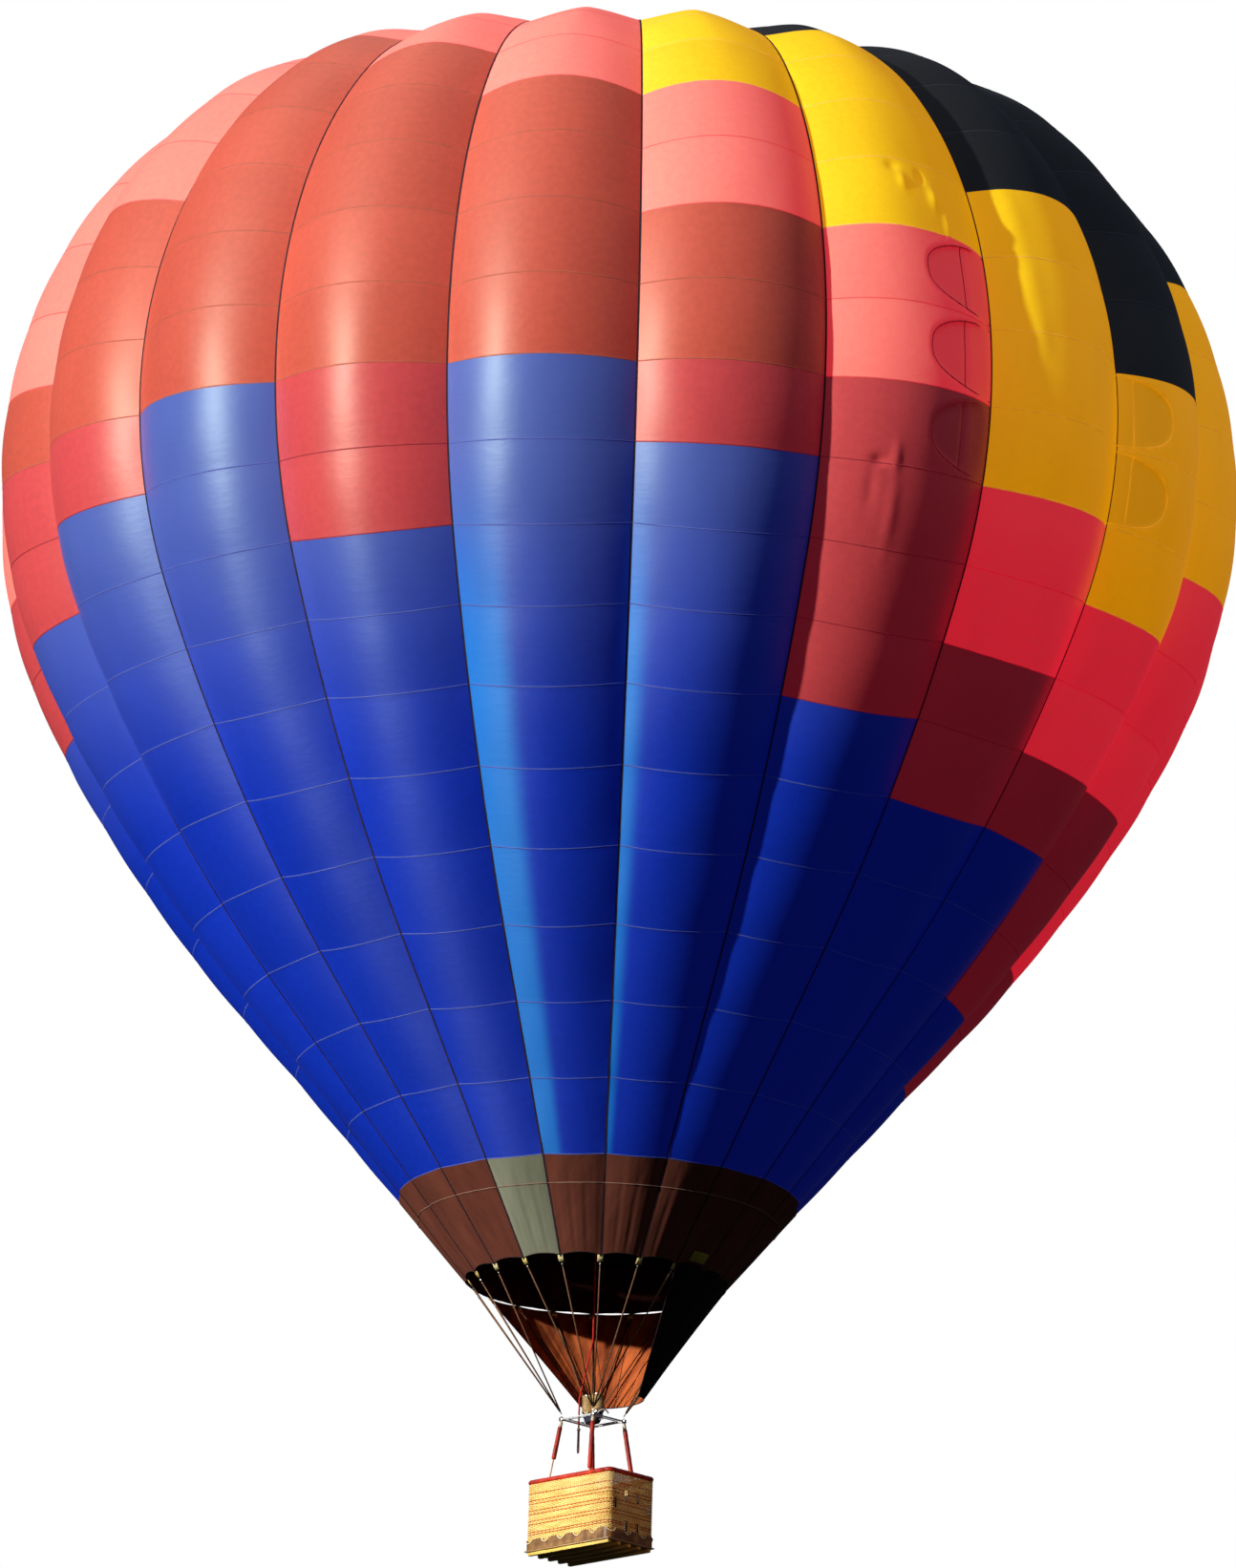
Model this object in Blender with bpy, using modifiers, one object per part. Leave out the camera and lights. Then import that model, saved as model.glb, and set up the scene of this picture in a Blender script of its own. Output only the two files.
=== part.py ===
"""Hot air balloon in flight: gored envelope, scoop, flying wires, burner and wicker basket.

Metres, +Z up. The origin is on the upright axis at the centre of the envelope's widest ring.
The basket's long sides run along X and the scoop opens towards -Y.
"""
import math

import bmesh
import bpy
from mathutils import Matrix, Vector

# Envelope: one meridian, from the crown to the mouth, as four arcs and a straight cone
GORES = 20
GORE_ANGLE = 2 * math.pi / GORES
CROWN_ARC = 6.49
CROWN_END = math.radians(35.9)
SHOULDER_ARC = 6.87
BELLY_ARC = 3.00
BELLY_END = math.radians(113.7)
WAIST_ARC = 6.17
CONE_ANGLE = math.radians(129.0)
CONE_LENGTH = 5.30
UPPER_ROW = 1.206             # heights of the sewn rows of panels along the meridian
LOWER_ROW = 1.264
FIRST_SEAM = 0.356            # seam 0 lies this far below the widest ring
LOWER_ROWS_FROM = 4           # seams are counted downwards; the lower rows start at this one
VENT_ROW = -9
NOMEX_ROW = 10
NOMEX_TOP_STRIP = 0.85        # below this the fullness of the fireproof band is gone
HEM_ARCH = 0.14               # the mouth's hem is cut up in an arch between each two tapes
FABRIC = 0.010
GORE_FULLNESS = 0.051         # how far a gore bulges past the tapes, as a share of their radius
GORE_SEGMENTS = 6
SEAM_GAP = 0.0003

# Crown and parachute vent
VENT_PANEL_RADIUS = 3.10
VENT_PANEL_DROP = 0.0217
VENT_PANEL_RINGS = 6
CROWN_RING_RADIUS = 0.28
CROWN_RING_WIDTH = 0.05
CROWN_RING_RISE = 0.004       # from the tapes' curve up to the ring's top
CROWN_TAPE_WIDTH = 0.040
CROWN_TAPE_THICKNESS = 0.006
CROWN_TAPE_SEGMENTS = 4
VENT_LINE_RADIUS = 0.006
VENT_LINE_X = -0.2875         # between the gimbal ring and the frame
VENT_LINE_BEND = (0.265, -13.05)
VENT_LINE_LEVELS = (-14.00, -14.85)

# Mouth, scoop and rigging
SCOOP_TOP_RADIUS = 1.98
SCOOP_BOTTOM_Z = -14.03
SCOOP_HALF_WIDTH = 0.62        # the lower hem is half an ellipse round (centre x, front y)
SCOOP_CENTRE_X = 0.04
SCOOP_FRONT_Y = 0.32
SCOOP_DEPTH = 0.42
SCOOP_PANELS = 11
SCOOP_LEVELS = 3
SCOOP_DROP = 0.06             # from the mouth's lip to the scoop's top hem
TIE_RADIUS = 0.004
TIE_SEAT = 0.0037             # the ties' middle line above the cloth's outer face
TIE_OVERLAP = 0.04            # how far the ties reach up the lip
WIRE_RADIUS = 0.005
WIRES_PER_CORNER = 5
WIRE_SEAT = 0.0008
SHACKLE_HALF = 0.014
SHACKLE_HEIGHT = 0.070
WIRE_START = 0.8              # share of the shackle's height at which the wires leave it

# Burner and its frame
FRAME_Z = -14.38
FRAME_LENGTH = 0.66
FRAME_WIDTH = 0.68
FRAME_TUBE = 0.030
CORNER_BLOCK = 0.056
GIMBAL_LENGTH = 0.50
GIMBAL_WIDTH = 0.54
GIMBAL_BAR = 0.020
PIVOT_RADIUS = 0.008
PIVOT_PLAY = 0.0005
COIL_SPACING = 0.20
COIL_RADIUS = 0.090
COIL_TUBE = 0.007
COIL_TURNS = 8
COIL_HEIGHT = 0.285
COIL_GROOVE = 0.15            # share of a turn's pitch that is flat on either side of it
BURNER_TOP = (0.34, 0.18)      # length and width of the tapered body under the cans
BURNER_BOTTOM = (0.20, 0.14)
BURNER_RISE = 0.11
BURNER_DROP = 0.05

# Basket
BASKET_LENGTH = 1.74
BASKET_WIDTH = 1.02
BASKET_CORNER = 0.10
CORNER_SEGMENTS = 5
WALL = 0.035
RIM_Z = -15.29
RIM_RADIUS = 0.036
SKID_BOTTOM_Z = -16.455
SKID_HEIGHT = 0.055
SKID_WIDTH = 0.070
SKIDS = 5
FLOOR_THICKNESS = 0.018
HIDE_HEIGHT = 0.17
HIDE_THICKNESS = 0.006
FOOT_SLOT_WIDTH = 0.07
FOOT_SLOT_HEIGHT = 0.15
FOOT_SLOTS = [
    # (y, distance of its middle below the rim)
    (-0.13, 0.39), (0.13, 0.39), (-0.37, 0.54), (0.37, 0.54), (-0.125, 0.865), (0.125, 0.865),
]
UPRIGHT_RIM_X = 0.41
UPRIGHT_FOOT_RISE = 0.0008
PAD_RADIUS = 0.034
PAD_SHARE = 0.66              # share of an upright's length that is padded
ROD_RADIUS = 0.011
CYLINDER_RADIUS = 0.150
CYLINDER_HEIGHT = 0.80
CYLINDER_CLEARANCE = 0.02

FLOOR_TOP_Z = SKID_BOTTOM_Z + SKID_HEIGHT + FLOOR_THICKNESS + SEAM_GAP
WALL_TOP_Z = RIM_Z - 2 * RIM_RADIUS
EQUATOR_ARC = CROWN_ARC + SHOULDER_ARC
MERIDIAN = EQUATOR_ARC + BELLY_ARC + WAIST_ARC + CONE_LENGTH

CORNERS = [
    # (name, x side, y side)
    ("back_right", 1, 1),
    ("back_left", -1, 1),
    ("front_left", -1, -1),
    ("front_right", 1, -1),
]

COLOURS = {
    # name: (red, green, blue, roughness, metallic)
    "sail_blue": (0.010, 0.060, 0.500, 0.55, 0.0),
    "nomex": (0.120, 0.030, 0.020, 0.85, 0.0),
    "pale_nomex": (0.330, 0.340, 0.280, 0.85, 0.0),
    "tape_dark": (0.020, 0.020, 0.030, 0.70, 0.0),
    "vent_red": (0.600, 0.030, 0.020, 0.60, 0.0),
    "wire_steel": (0.450, 0.430, 0.400, 0.35, 1.0),
    "frame_steel": (0.550, 0.560, 0.580, 0.30, 1.0),
    "burner_steel": (0.620, 0.600, 0.560, 0.25, 1.0),
    "wicker": (0.620, 0.360, 0.120, 0.75, 0.0),
    "plywood": (0.450, 0.280, 0.130, 0.70, 0.0),
    "rim_leather": (0.350, 0.020, 0.010, 0.50, 0.0),
    "hide": (0.300, 0.120, 0.050, 0.60, 0.0),
    "skid_wood": (0.550, 0.330, 0.130, 0.60, 0.0),
    "tank": (0.500, 0.510, 0.530, 0.35, 1.0),
}


# Shared makers

def clear_scene():
    for obj in list(bpy.data.objects):
        bpy.data.objects.remove(obj, do_unlink=True)


def make_collection(name):
    collection = bpy.data.collections.new(name)
    bpy.context.scene.collection.children.link(collection)
    return collection


def make_material(name, colour):
    red, green, blue, roughness, metallic = COLOURS[colour]
    material = bpy.data.materials.new(name)
    material.use_nodes = True
    shader = material.node_tree.nodes["Principled BSDF"]
    shader.inputs["Base Color"].default_value = (red, green, blue, 1.0)
    shader.inputs["Roughness"].default_value = roughness
    shader.inputs["Metallic"].default_value = metallic
    return material


def add_object(name, data, colour=None, parent=None):
    """Link a mesh or curve as a named piece of the balloon; without a colour it is a cutter."""
    obj = bpy.data.objects.new(name, data)
    if colour is None:
        CUTTERS.objects.link(obj)
        obj.hide_render = True
        obj.display_type = "WIRE"
    else:
        PIECES.objects.link(obj)
        data.materials.append(make_material(name, colour))
    if parent is not None:
        obj.parent = parent
        obj.matrix_parent_inverse = Matrix.Translation(parent.location).inverted()
    return obj


def mesh_from_bmesh(name, work):
    mesh = bpy.data.meshes.new(name)
    work.to_mesh(mesh)
    work.free()
    return mesh


def box(name, centre, size, colour=None, parent=None):
    work = bmesh.new()
    bmesh.ops.create_cube(work, size=1.0)
    bmesh.ops.scale(work, vec=size, verts=work.verts)
    obj = add_object(name, mesh_from_bmesh(name, work), colour, parent)
    obj.location = centre
    return obj


def bent_grid(name, columns, rows, place, colour):
    """A grid of faces whose corner at (column, row) lies at place(column, row); row 0 is on top."""
    work = bmesh.new()
    bmesh.ops.create_grid(work, x_segments=columns, y_segments=rows, size=1.0)
    for corner in work.verts:
        column = round((corner.co.x + 1) / 2 * columns)
        row = round((1 - corner.co.y) / 2 * rows)
        corner.co = place(column, row)
    return add_object(name, mesh_from_bmesh(name, work), colour)


def thicken(obj, thickness):
    """Give an outer surface its thickness, inwards."""
    solid = obj.modifiers.new("thickness", "SOLIDIFY")
    solid.thickness = thickness
    solid.offset = -1.0
    solid.use_even_offset = True


def combine(obj, other, operation):
    boolean = obj.modifiers.new(operation.lower(), "BOOLEAN")
    boolean.operation = operation
    boolean.solver = "EXACT"
    boolean.object = other


def tube(name, route, radius, colour=None, parent=None, resolution=2, closed=False):
    """A round rod along a route of points, as a bevelled curve with filled ends."""
    curve = bpy.data.curves.new(name, "CURVE")
    curve.dimensions = "3D"
    curve.bevel_depth = radius
    curve.bevel_resolution = resolution
    curve.use_fill_caps = True
    spline = curve.splines.new("POLY")
    spline.points.add(len(route) - 1)
    for point, place in zip(spline.points, route):
        point.co = (*place, 1.0)
    spline.use_cyclic_u = closed
    return add_object(name, curve, colour, parent)


def solid_tube(name, route, radius, colour=None, resolution=2):
    """A rod as a welded mesh, which other pieces can be joined to or which joins another."""
    curve = tube(name, route, radius, resolution=resolution)
    bpy.context.view_layer.update()
    evaluated = curve.evaluated_get(bpy.context.evaluated_depsgraph_get())
    work = bmesh.new()
    work.from_mesh(bpy.data.meshes.new_from_object(evaluated))
    bmesh.ops.remove_doubles(work, verts=work.verts, dist=0.00001)
    bmesh.ops.recalc_face_normals(work, faces=work.faces)
    place = curve.matrix_world.copy()
    bpy.data.objects.remove(curve, do_unlink=True)
    rod = add_object(name, mesh_from_bmesh(name, work), colour)
    rod.matrix_world = place
    return rod


def turned(name, profile, colour, steps, parent=None, centre=(0.0, 0.0, 0.0), closed=True):
    """Turn a profile of (radius, height), listed down its outer side, round an upright line."""
    corners = [(radius, 0.0, height) for radius, height in profile]
    edges = [(index, index + 1) for index in range(len(corners) - 1)]
    if closed:
        edges.append((len(corners) - 1, 0))
    mesh = bpy.data.meshes.new(name)
    mesh.from_pydata(corners, edges, [])
    obj = add_object(name, mesh, colour, parent)
    obj.location = centre
    screw = obj.modifiers.new("turn", "SCREW")
    screw.steps = steps
    screw.render_steps = steps
    screw.use_merge_vertices = True
    screw.merge_threshold = 0.0001
    return obj


def empty_at(name, point):
    empty = bpy.data.objects.new(name, None)
    empty.location = point
    PIECES.objects.link(empty)
    return empty


# Envelope

MERIDIAN_PIECES = [
    # (length, heading at its start, turn); heading 0 is outwards and 90 degrees is down
    (CROWN_ARC, 0.0, CROWN_END),
    (SHOULDER_ARC, CROWN_END, math.pi / 2 - CROWN_END),
    (BELLY_ARC, math.pi / 2, BELLY_END - math.pi / 2),
    (WAIST_ARC, BELLY_END, CONE_ANGLE - BELLY_END),
    (CONE_LENGTH, CONE_ANGLE, 0.0),
]


def meridian_from_crown(distance):
    """Radius and height below the crown at a distance along the meridian, and its heading."""
    point = Vector((0.0, 0.0))
    for length, heading, turn in MERIDIAN_PIECES:
        step = min(distance, length)
        if turn == 0.0:
            point += Vector((math.cos(heading), -math.sin(heading))) * step
        else:
            end = heading + turn * step / length
            point += Vector((math.sin(end) - math.sin(heading),
                             math.cos(end) - math.cos(heading))) * length / turn
            heading = end
        distance -= step
        if distance <= 1e-9:
            break
    return point, heading


CROWN_Z = -meridian_from_crown(EQUATOR_ARC)[0].y


def meridian(distance):
    """Tape radius, height and heading at a distance from the crown along the meridian."""
    point, heading = meridian_from_crown(distance)
    return point.x, point.y + CROWN_Z, heading


def row_distance(row):
    lower_rows = max(0, row - LOWER_ROWS_FROM)
    return EQUATOR_ARC + FIRST_SEAM + (row - lower_rows) * UPPER_ROW + lower_rows * LOWER_ROW


def fullness(distance):
    """The bulge fades towards the vent and down the cone, where the cloth is taut."""
    from_vent = (distance - row_distance(VENT_ROW)) / (3 * UPPER_ROW)
    from_mouth = (MERIDIAN - distance) / (8 * LOWER_ROW)
    top = 0.55 + 0.45 * min(1.0, max(0.0, from_vent))
    bottom = 0.22 + 0.78 * min(1.0, max(0.0, from_mouth))
    return GORE_FULLNESS * top * bottom


def skin_point(distance, across, centre_angle, edge_gap):
    """A point of a gore's outer surface; across runs from -1 to 1 between its two tapes."""
    radius, height, heading = meridian(distance)
    bulge = fullness(distance) * radius * (1 - across * across)
    radius_out = radius + bulge * math.sin(heading)
    height_out = height + bulge * math.cos(heading)
    angle = centre_angle + across * (GORE_ANGLE / 2 - edge_gap / radius)
    return Vector((radius_out * math.cos(angle), radius_out * math.sin(angle), height_out))


def gore_sheet(name, first_gore, gores, distances, colour, hem_arch=0.0):
    """The sewn gores between two seams as one sheet; its lowest edge can be arched."""
    columns = gores * GORE_SEGMENTS
    last_row = len(distances) - 1

    def place(column, row):
        gore = min(column // GORE_SEGMENTS, gores - 1)
        across = 2.0 * (column - gore * GORE_SEGMENTS) / GORE_SEGMENTS - 1.0
        edge_gap = SEAM_GAP / 2 if column in (0, columns) else 0.0
        arch = hem_arch * (1 - across * across) if row == last_row else 0.0
        return skin_point(distances[row] - arch, across, (first_gore + gore) * GORE_ANGLE, edge_gap)

    thicken(bent_grid(name, columns, last_row, place, colour), FABRIC)


def build_gores():
    distances = [row_distance(row) for row in range(VENT_ROW, NOMEX_ROW + 1)]
    distances[-1] -= SEAM_GAP
    for index in range(GORES):
        gore_sheet(f"gore_{index + 1:02d}", index, 1, distances, "sail_blue")


def build_mouth_band():
    """The fireproof panels round the mouth, in five sewn groups; one single panel is pale."""
    distances = [row_distance(NOMEX_ROW), row_distance(NOMEX_ROW) + NOMEX_TOP_STRIP, MERIDIAN]
    groups = [
        # (name, first gore, gores, colour)
        ("mouth_panel_pale", -4, 1, "pale_nomex"),
        ("mouth_band_front_right", -3, 5, "nomex"),
        ("mouth_band_back_right", 2, 5, "nomex"),
        ("mouth_band_back_left", 7, 5, "nomex"),
        ("mouth_band_front_left", 12, 4, "nomex"),
    ]
    for name, first_gore, gores, colour in groups:
        gore_sheet(name, first_gore, gores, distances, colour, HEM_ARCH)


# Crown and vent

def build_crown():
    """The crown ring, and the load tapes that run to it across the vent opening."""
    outer = CROWN_RING_RADIUS + CROWN_RING_WIDTH
    top = meridian(CROWN_RING_RADIUS)[1] + CROWN_RING_RISE
    bottom = top - CROWN_TAPE_THICKNESS
    profile = [(outer, top), (outer, bottom), (CROWN_RING_RADIUS, bottom), (CROWN_RING_RADIUS, top)]
    ring = turned("crown_ring", profile, "tape_dark", 4 * GORES)
    start = CROWN_RING_RADIUS + CROWN_RING_WIDTH / 2
    reach = row_distance(VENT_ROW) - 4 * SEAM_GAP

    def place(column, row):
        distance = start + (reach - start) * row / CROWN_TAPE_SEGMENTS
        radius, height, _ = meridian(distance)
        return Vector((radius, (column - 0.5) * CROWN_TAPE_WIDTH, height))

    for index in range(GORES):
        tape = bent_grid(f"crown_tape_{index + 1}", 1, CROWN_TAPE_SEGMENTS, place, None)
        tape.rotation_euler.z = (index + 0.5) * GORE_ANGLE
        thicken(tape, CROWN_TAPE_THICKNESS)
        combine(ring, tape, "UNION")


def build_vent(parent):
    """The parachute valve: a shallow cloth cap held up under the vent, and its red line."""
    outer = []
    for step in range(VENT_PANEL_RINGS + 1):
        radius, height, _ = meridian(VENT_PANEL_RADIUS * step / VENT_PANEL_RINGS)
        outer.append((radius, height - VENT_PANEL_DROP))
    inner = [(radius, height - FABRIC) for radius, height in reversed(outer)]
    turned("vent_panel", outer + inner, "tape_dark", 2 * GORES, parent, closed=False)
    top = meridian(0.0)[1] - VENT_PANEL_DROP - FABRIC - SEAM_GAP
    route = [(0.0, 0.0, top), (VENT_LINE_X, *VENT_LINE_BEND)]
    route += [(VENT_LINE_X, 0.0, level) for level in VENT_LINE_LEVELS]
    tube("vent_line", route, VENT_LINE_RADIUS, "vent_red", parent)


# Scoop and rigging

def outwards(angle):
    return Vector((math.cos(angle), math.sin(angle), 0.0))


def lip_point(angle, below):
    """A point just past the mouth's lip at a tape, in the middle of the cloth's thickness."""
    radius, height, heading = meridian(MERIDIAN)
    radius += below * math.cos(heading) - FABRIC / 2 * math.sin(heading)
    height += -below * math.sin(heading) - FABRIC / 2 * math.cos(heading)
    return outwards(angle) * radius + Vector((0.0, 0.0, height))


def build_scoop():
    """The cloth scoop tied under the back half of the mouth, open towards -Y."""
    top_z = meridian(MERIDIAN)[1] - SCOOP_DROP
    first_angle = -GORE_ANGLE / 2
    columns = 2 * SCOOP_PANELS

    def place(column, row):
        share = column / columns
        top = outwards(first_angle + share * SCOOP_PANELS * GORE_ANGLE) * SCOOP_TOP_RADIUS
        top.z = top_z
        low = Vector((SCOOP_CENTRE_X + SCOOP_HALF_WIDTH * math.cos(share * math.pi),
                      SCOOP_FRONT_Y + SCOOP_DEPTH * math.sin(share * math.pi), SCOOP_BOTTOM_Z))
        return top.lerp(low, row / SCOOP_LEVELS)

    scoop = bent_grid("scoop", columns, SCOOP_LEVELS, place, "nomex")
    thicken(scoop, FABRIC)
    radius, height, heading = meridian(MERIDIAN - TIE_OVERLAP)
    for tie in range(SCOOP_PANELS + 1):
        direction = outwards(first_angle + tie * GORE_ANGLE)
        start = direction * (radius + TIE_SEAT * math.sin(heading))
        start.z = height + TIE_SEAT * math.cos(heading)
        end = direction * (SCOOP_TOP_RADIUS - FABRIC / 2)
        end.z = top_z - FABRIC
        combine(scoop, solid_tube(f"scoop_tie_{tie}", [start, end], TIE_RADIUS), "UNION")


def build_wires():
    """Twenty flying wires in four bunches of five, one bunch to each corner of the frame."""
    for index, (name, x_side, y_side) in enumerate(CORNERS):
        foot = Vector((x_side * FRAME_LENGTH / 2, y_side * FRAME_WIDTH / 2,
                       FRAME_Z + CORNER_BLOCK / 2 + SEAM_GAP))
        bunch = box(f"flying_wires_{name}", foot + Vector((0.0, 0.0, SHACKLE_HEIGHT / 2)),
                    (2 * SHACKLE_HALF, 2 * SHACKLE_HALF, SHACKLE_HEIGHT), "wire_steel")
        start = foot + Vector((0.0, 0.0, WIRE_START * SHACKLE_HEIGHT))
        for wire in range(WIRES_PER_CORNER):
            angle = (WIRES_PER_CORNER * index + wire + 0.5) * GORE_ANGLE
            rope = solid_tube(f"wire_{name}_{wire}", [start, lip_point(angle, WIRE_SEAT)],
                              WIRE_RADIUS)
            combine(bunch, rope, "UNION")


# Burner

def bar_frame(name, length, width, tube_size, colour, parent=None):
    """A rectangular frame of square tube, measured to the middle of its bars."""
    centre = (0.0, 0.0, FRAME_Z)
    frame = box(name, centre, (length + tube_size, width + tube_size, tube_size), colour, parent)
    opening = box(f"{name}_opening", centre, (length - tube_size, width - tube_size, 1.0))
    combine(frame, opening, "DIFFERENCE")
    return frame


def build_burner_frame():
    frame = bar_frame("burner_frame", FRAME_LENGTH, FRAME_WIDTH, FRAME_TUBE, "frame_steel")
    for name, x_side, y_side in CORNERS:
        centre = (x_side * FRAME_LENGTH / 2, y_side * FRAME_WIDTH / 2, FRAME_Z)
        combine(frame, box(f"frame_corner_{name}", centre, (CORNER_BLOCK,) * 3), "UNION")


def build_gimbal(ring_parent, burner_parent):
    """A ring that tilts about Y in the frame, and the burner that tilts about X in the ring."""
    ring = bar_frame("gimbal_ring", GIMBAL_LENGTH, GIMBAL_WIDTH, GIMBAL_BAR, "frame_steel",
                     ring_parent)
    reach = FRAME_WIDTH / 2 - FRAME_TUBE / 2 - PIVOT_PLAY
    for side in (-1, 1):
        ends = [(0, side * (GIMBAL_WIDTH / 2), FRAME_Z), (0, side * reach, FRAME_Z)]
        combine(ring, solid_tube(f"ring_pin_{side}", ends, PIVOT_RADIUS), "UNION")
    middle = FRAME_Z + (BURNER_RISE - BURNER_DROP) / 2
    block = box("burner_block", (0.0, 0.0, middle), (1.0, 1.0, BURNER_RISE + BURNER_DROP),
                "burner_steel", burner_parent)
    for corner in block.data.vertices:
        length, width = BURNER_TOP if corner.co.z > 0 else BURNER_BOTTOM
        corner.co.x *= length
        corner.co.y *= width
    reach = GIMBAL_LENGTH / 2 - GIMBAL_BAR / 2 - PIVOT_PLAY
    for side in (-1, 1):
        ends = [(side * BURNER_BOTTOM[0] / 2, 0, FRAME_Z), (side * reach, 0, FRAME_Z)]
        combine(block, solid_tube(f"block_pin_{side}", ends, PIVOT_RADIUS), "UNION")


def build_coils(parent):
    """Two open burner cans, each a stack of coiled fuel tube."""
    base = FRAME_Z + BURNER_RISE + SEAM_GAP
    pitch = COIL_HEIGHT / COIL_TURNS
    inside = COIL_RADIUS - COIL_TUBE
    profile = [(COIL_RADIUS, COIL_HEIGHT)]
    for turn in reversed(range(COIL_TURNS)):
        low = turn * pitch
        profile += [(COIL_RADIUS, low + (1 - COIL_GROOVE) * pitch),
                    (COIL_RADIUS + COIL_TUBE, low + pitch / 2),
                    (COIL_RADIUS, low + COIL_GROOVE * pitch)]
    profile += [(COIL_RADIUS, 0.0), (inside, 0.0), (inside, COIL_HEIGHT)]
    for name, side in (("burner_coil_left", -1), ("burner_coil_right", 1)):
        turned(name, profile, "burner_steel", 20, parent, (side * COIL_SPACING / 2, 0.0, base))


# Basket

def build_uprights():
    """Four leaning uprights from the frame's corners to the long sides of the rim."""
    top_z = FRAME_Z - CORNER_BLOCK / 2 - SEAM_GAP
    foot_y = BASKET_WIDTH / 2 - RIM_RADIUS
    spread = math.hypot(foot_y - FRAME_WIDTH / 2, UPRIGHT_RIM_X - FRAME_LENGTH / 2)
    lean = math.atan2(spread, top_z - RIM_Z)
    for name, x_side, y_side in CORNERS:
        top = Vector((x_side * FRAME_LENGTH / 2, y_side * FRAME_WIDTH / 2,
                      top_z - PAD_RADIUS * math.sin(lean)))
        foot = Vector((x_side * UPRIGHT_RIM_X, y_side * foot_y, RIM_Z + UPRIGHT_FOOT_RISE))
        pad_end = top.lerp(foot, PAD_SHARE)
        upright = solid_tube(f"upright_{name}", [top, pad_end], PAD_RADIUS, "rim_leather", 4)
        combine(upright, solid_tube(f"rod_{name}", [top, foot], ROD_RADIUS), "UNION")


def band(name, length, width, corner, wall, low, high, colour):
    """An upright wall round a rectangle with rounded corners, open above and below."""
    work = bmesh.new()
    bmesh.ops.create_cube(work, size=1.0)
    bmesh.ops.scale(work, vec=(length, width, high - low), verts=work.verts)
    ends = [face for face in work.faces if abs(face.normal.z) > 0.5]
    bmesh.ops.delete(work, geom=ends, context="FACES_ONLY")
    upright_edges = [edge for edge in work.edges
                     if abs(edge.verts[0].co.z - edge.verts[1].co.z) > (high - low) / 2]
    bmesh.ops.bevel(work, geom=upright_edges, offset=corner, segments=CORNER_SEGMENTS,
                    profile=0.5, affect="EDGES")
    obj = add_object(name, mesh_from_bmesh(name, work), colour)
    obj.location.z = (low + high) / 2
    thicken(obj, wall)
    return obj


def build_basket_wall():
    wall = band("basket_wall", BASKET_LENGTH, BASKET_WIDTH, BASKET_CORNER, WALL,
                FLOOR_TOP_Z + SEAM_GAP, WALL_TOP_Z, "wicker")
    for index, (y, below) in enumerate(FOOT_SLOTS):
        cutter = box(f"foot_slot_{index}", (0.0, y, RIM_Z - below),
                     (2 * BASKET_LENGTH, FOOT_SLOT_WIDTH, FOOT_SLOT_HEIGHT))
        combine(wall, cutter, "DIFFERENCE")


def rounded_outline(length, width, corner):
    """A rounded rectangle round the Z axis, as (x, y) points."""
    points = []
    for quarter, (x_side, y_side) in enumerate(((1, 1), (-1, 1), (-1, -1), (1, -1))):
        for step in range(CORNER_SEGMENTS + 1):
            angle = (quarter + step / CORNER_SEGMENTS) * math.pi / 2
            points.append((x_side * (length / 2 - corner) + corner * math.cos(angle),
                           y_side * (width / 2 - corner) + corner * math.sin(angle)))
    return points


def build_rim():
    """The padded leather roll along the top of the wall."""
    outline = rounded_outline(BASKET_LENGTH - 2 * RIM_RADIUS, BASKET_WIDTH - 2 * RIM_RADIUS,
                              BASKET_CORNER - RIM_RADIUS)
    route = [(x, y, RIM_Z - RIM_RADIUS) for x, y in outline]
    tube("basket_rim", route, RIM_RADIUS - SEAM_GAP, "rim_leather", resolution=4, closed=True)


def build_basket():
    build_basket_wall()
    build_rim()
    box("basket_floor", (0.0, 0.0, FLOOR_TOP_Z - FLOOR_THICKNESS / 2),
        (BASKET_LENGTH, BASKET_WIDTH, FLOOR_THICKNESS), "plywood")
    proud = 2 * (HIDE_THICKNESS + SEAM_GAP)
    band("basket_hide", BASKET_LENGTH + proud, BASKET_WIDTH + proud,
         BASKET_CORNER + HIDE_THICKNESS, HIDE_THICKNESS, FLOOR_TOP_Z + SEAM_GAP,
         FLOOR_TOP_Z + HIDE_HEIGHT, "hide")
    for index in range(SKIDS):
        y = (index / (SKIDS - 1) - 0.5) * (BASKET_WIDTH - SKID_WIDTH)
        box(f"skid_{index + 1}", (0.0, y, SKID_BOTTOM_Z + SKID_HEIGHT / 2),
            (BASKET_LENGTH, SKID_WIDTH, SKID_HEIGHT), "skid_wood")


def build_gas_cylinders():
    """Bottles with a rounded foot and shoulder and a guard ring's outline over the valve."""
    radius, height = CYLINDER_RADIUS, CYLINDER_HEIGHT
    profile = [(0.0, height + 0.05), (0.3 * radius, height + 0.05), (0.3 * radius, height),
               (0.75 * radius, height - 0.02), (radius, height - 0.07), (radius, 0.05),
               (0.7 * radius, 0.0), (0.0, 0.0)]
    base = FLOOR_TOP_Z + SEAM_GAP
    x = BASKET_LENGTH / 2 - WALL - radius - CYLINDER_CLEARANCE
    y = BASKET_WIDTH / 2 - WALL - radius - CYLINDER_CLEARANCE
    for name, x_side, y_side in CORNERS:
        turned(f"gas_cylinder_{name}", profile, "tank", 20, None, (x_side * x, y_side * y, base),
               closed=False)


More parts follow.
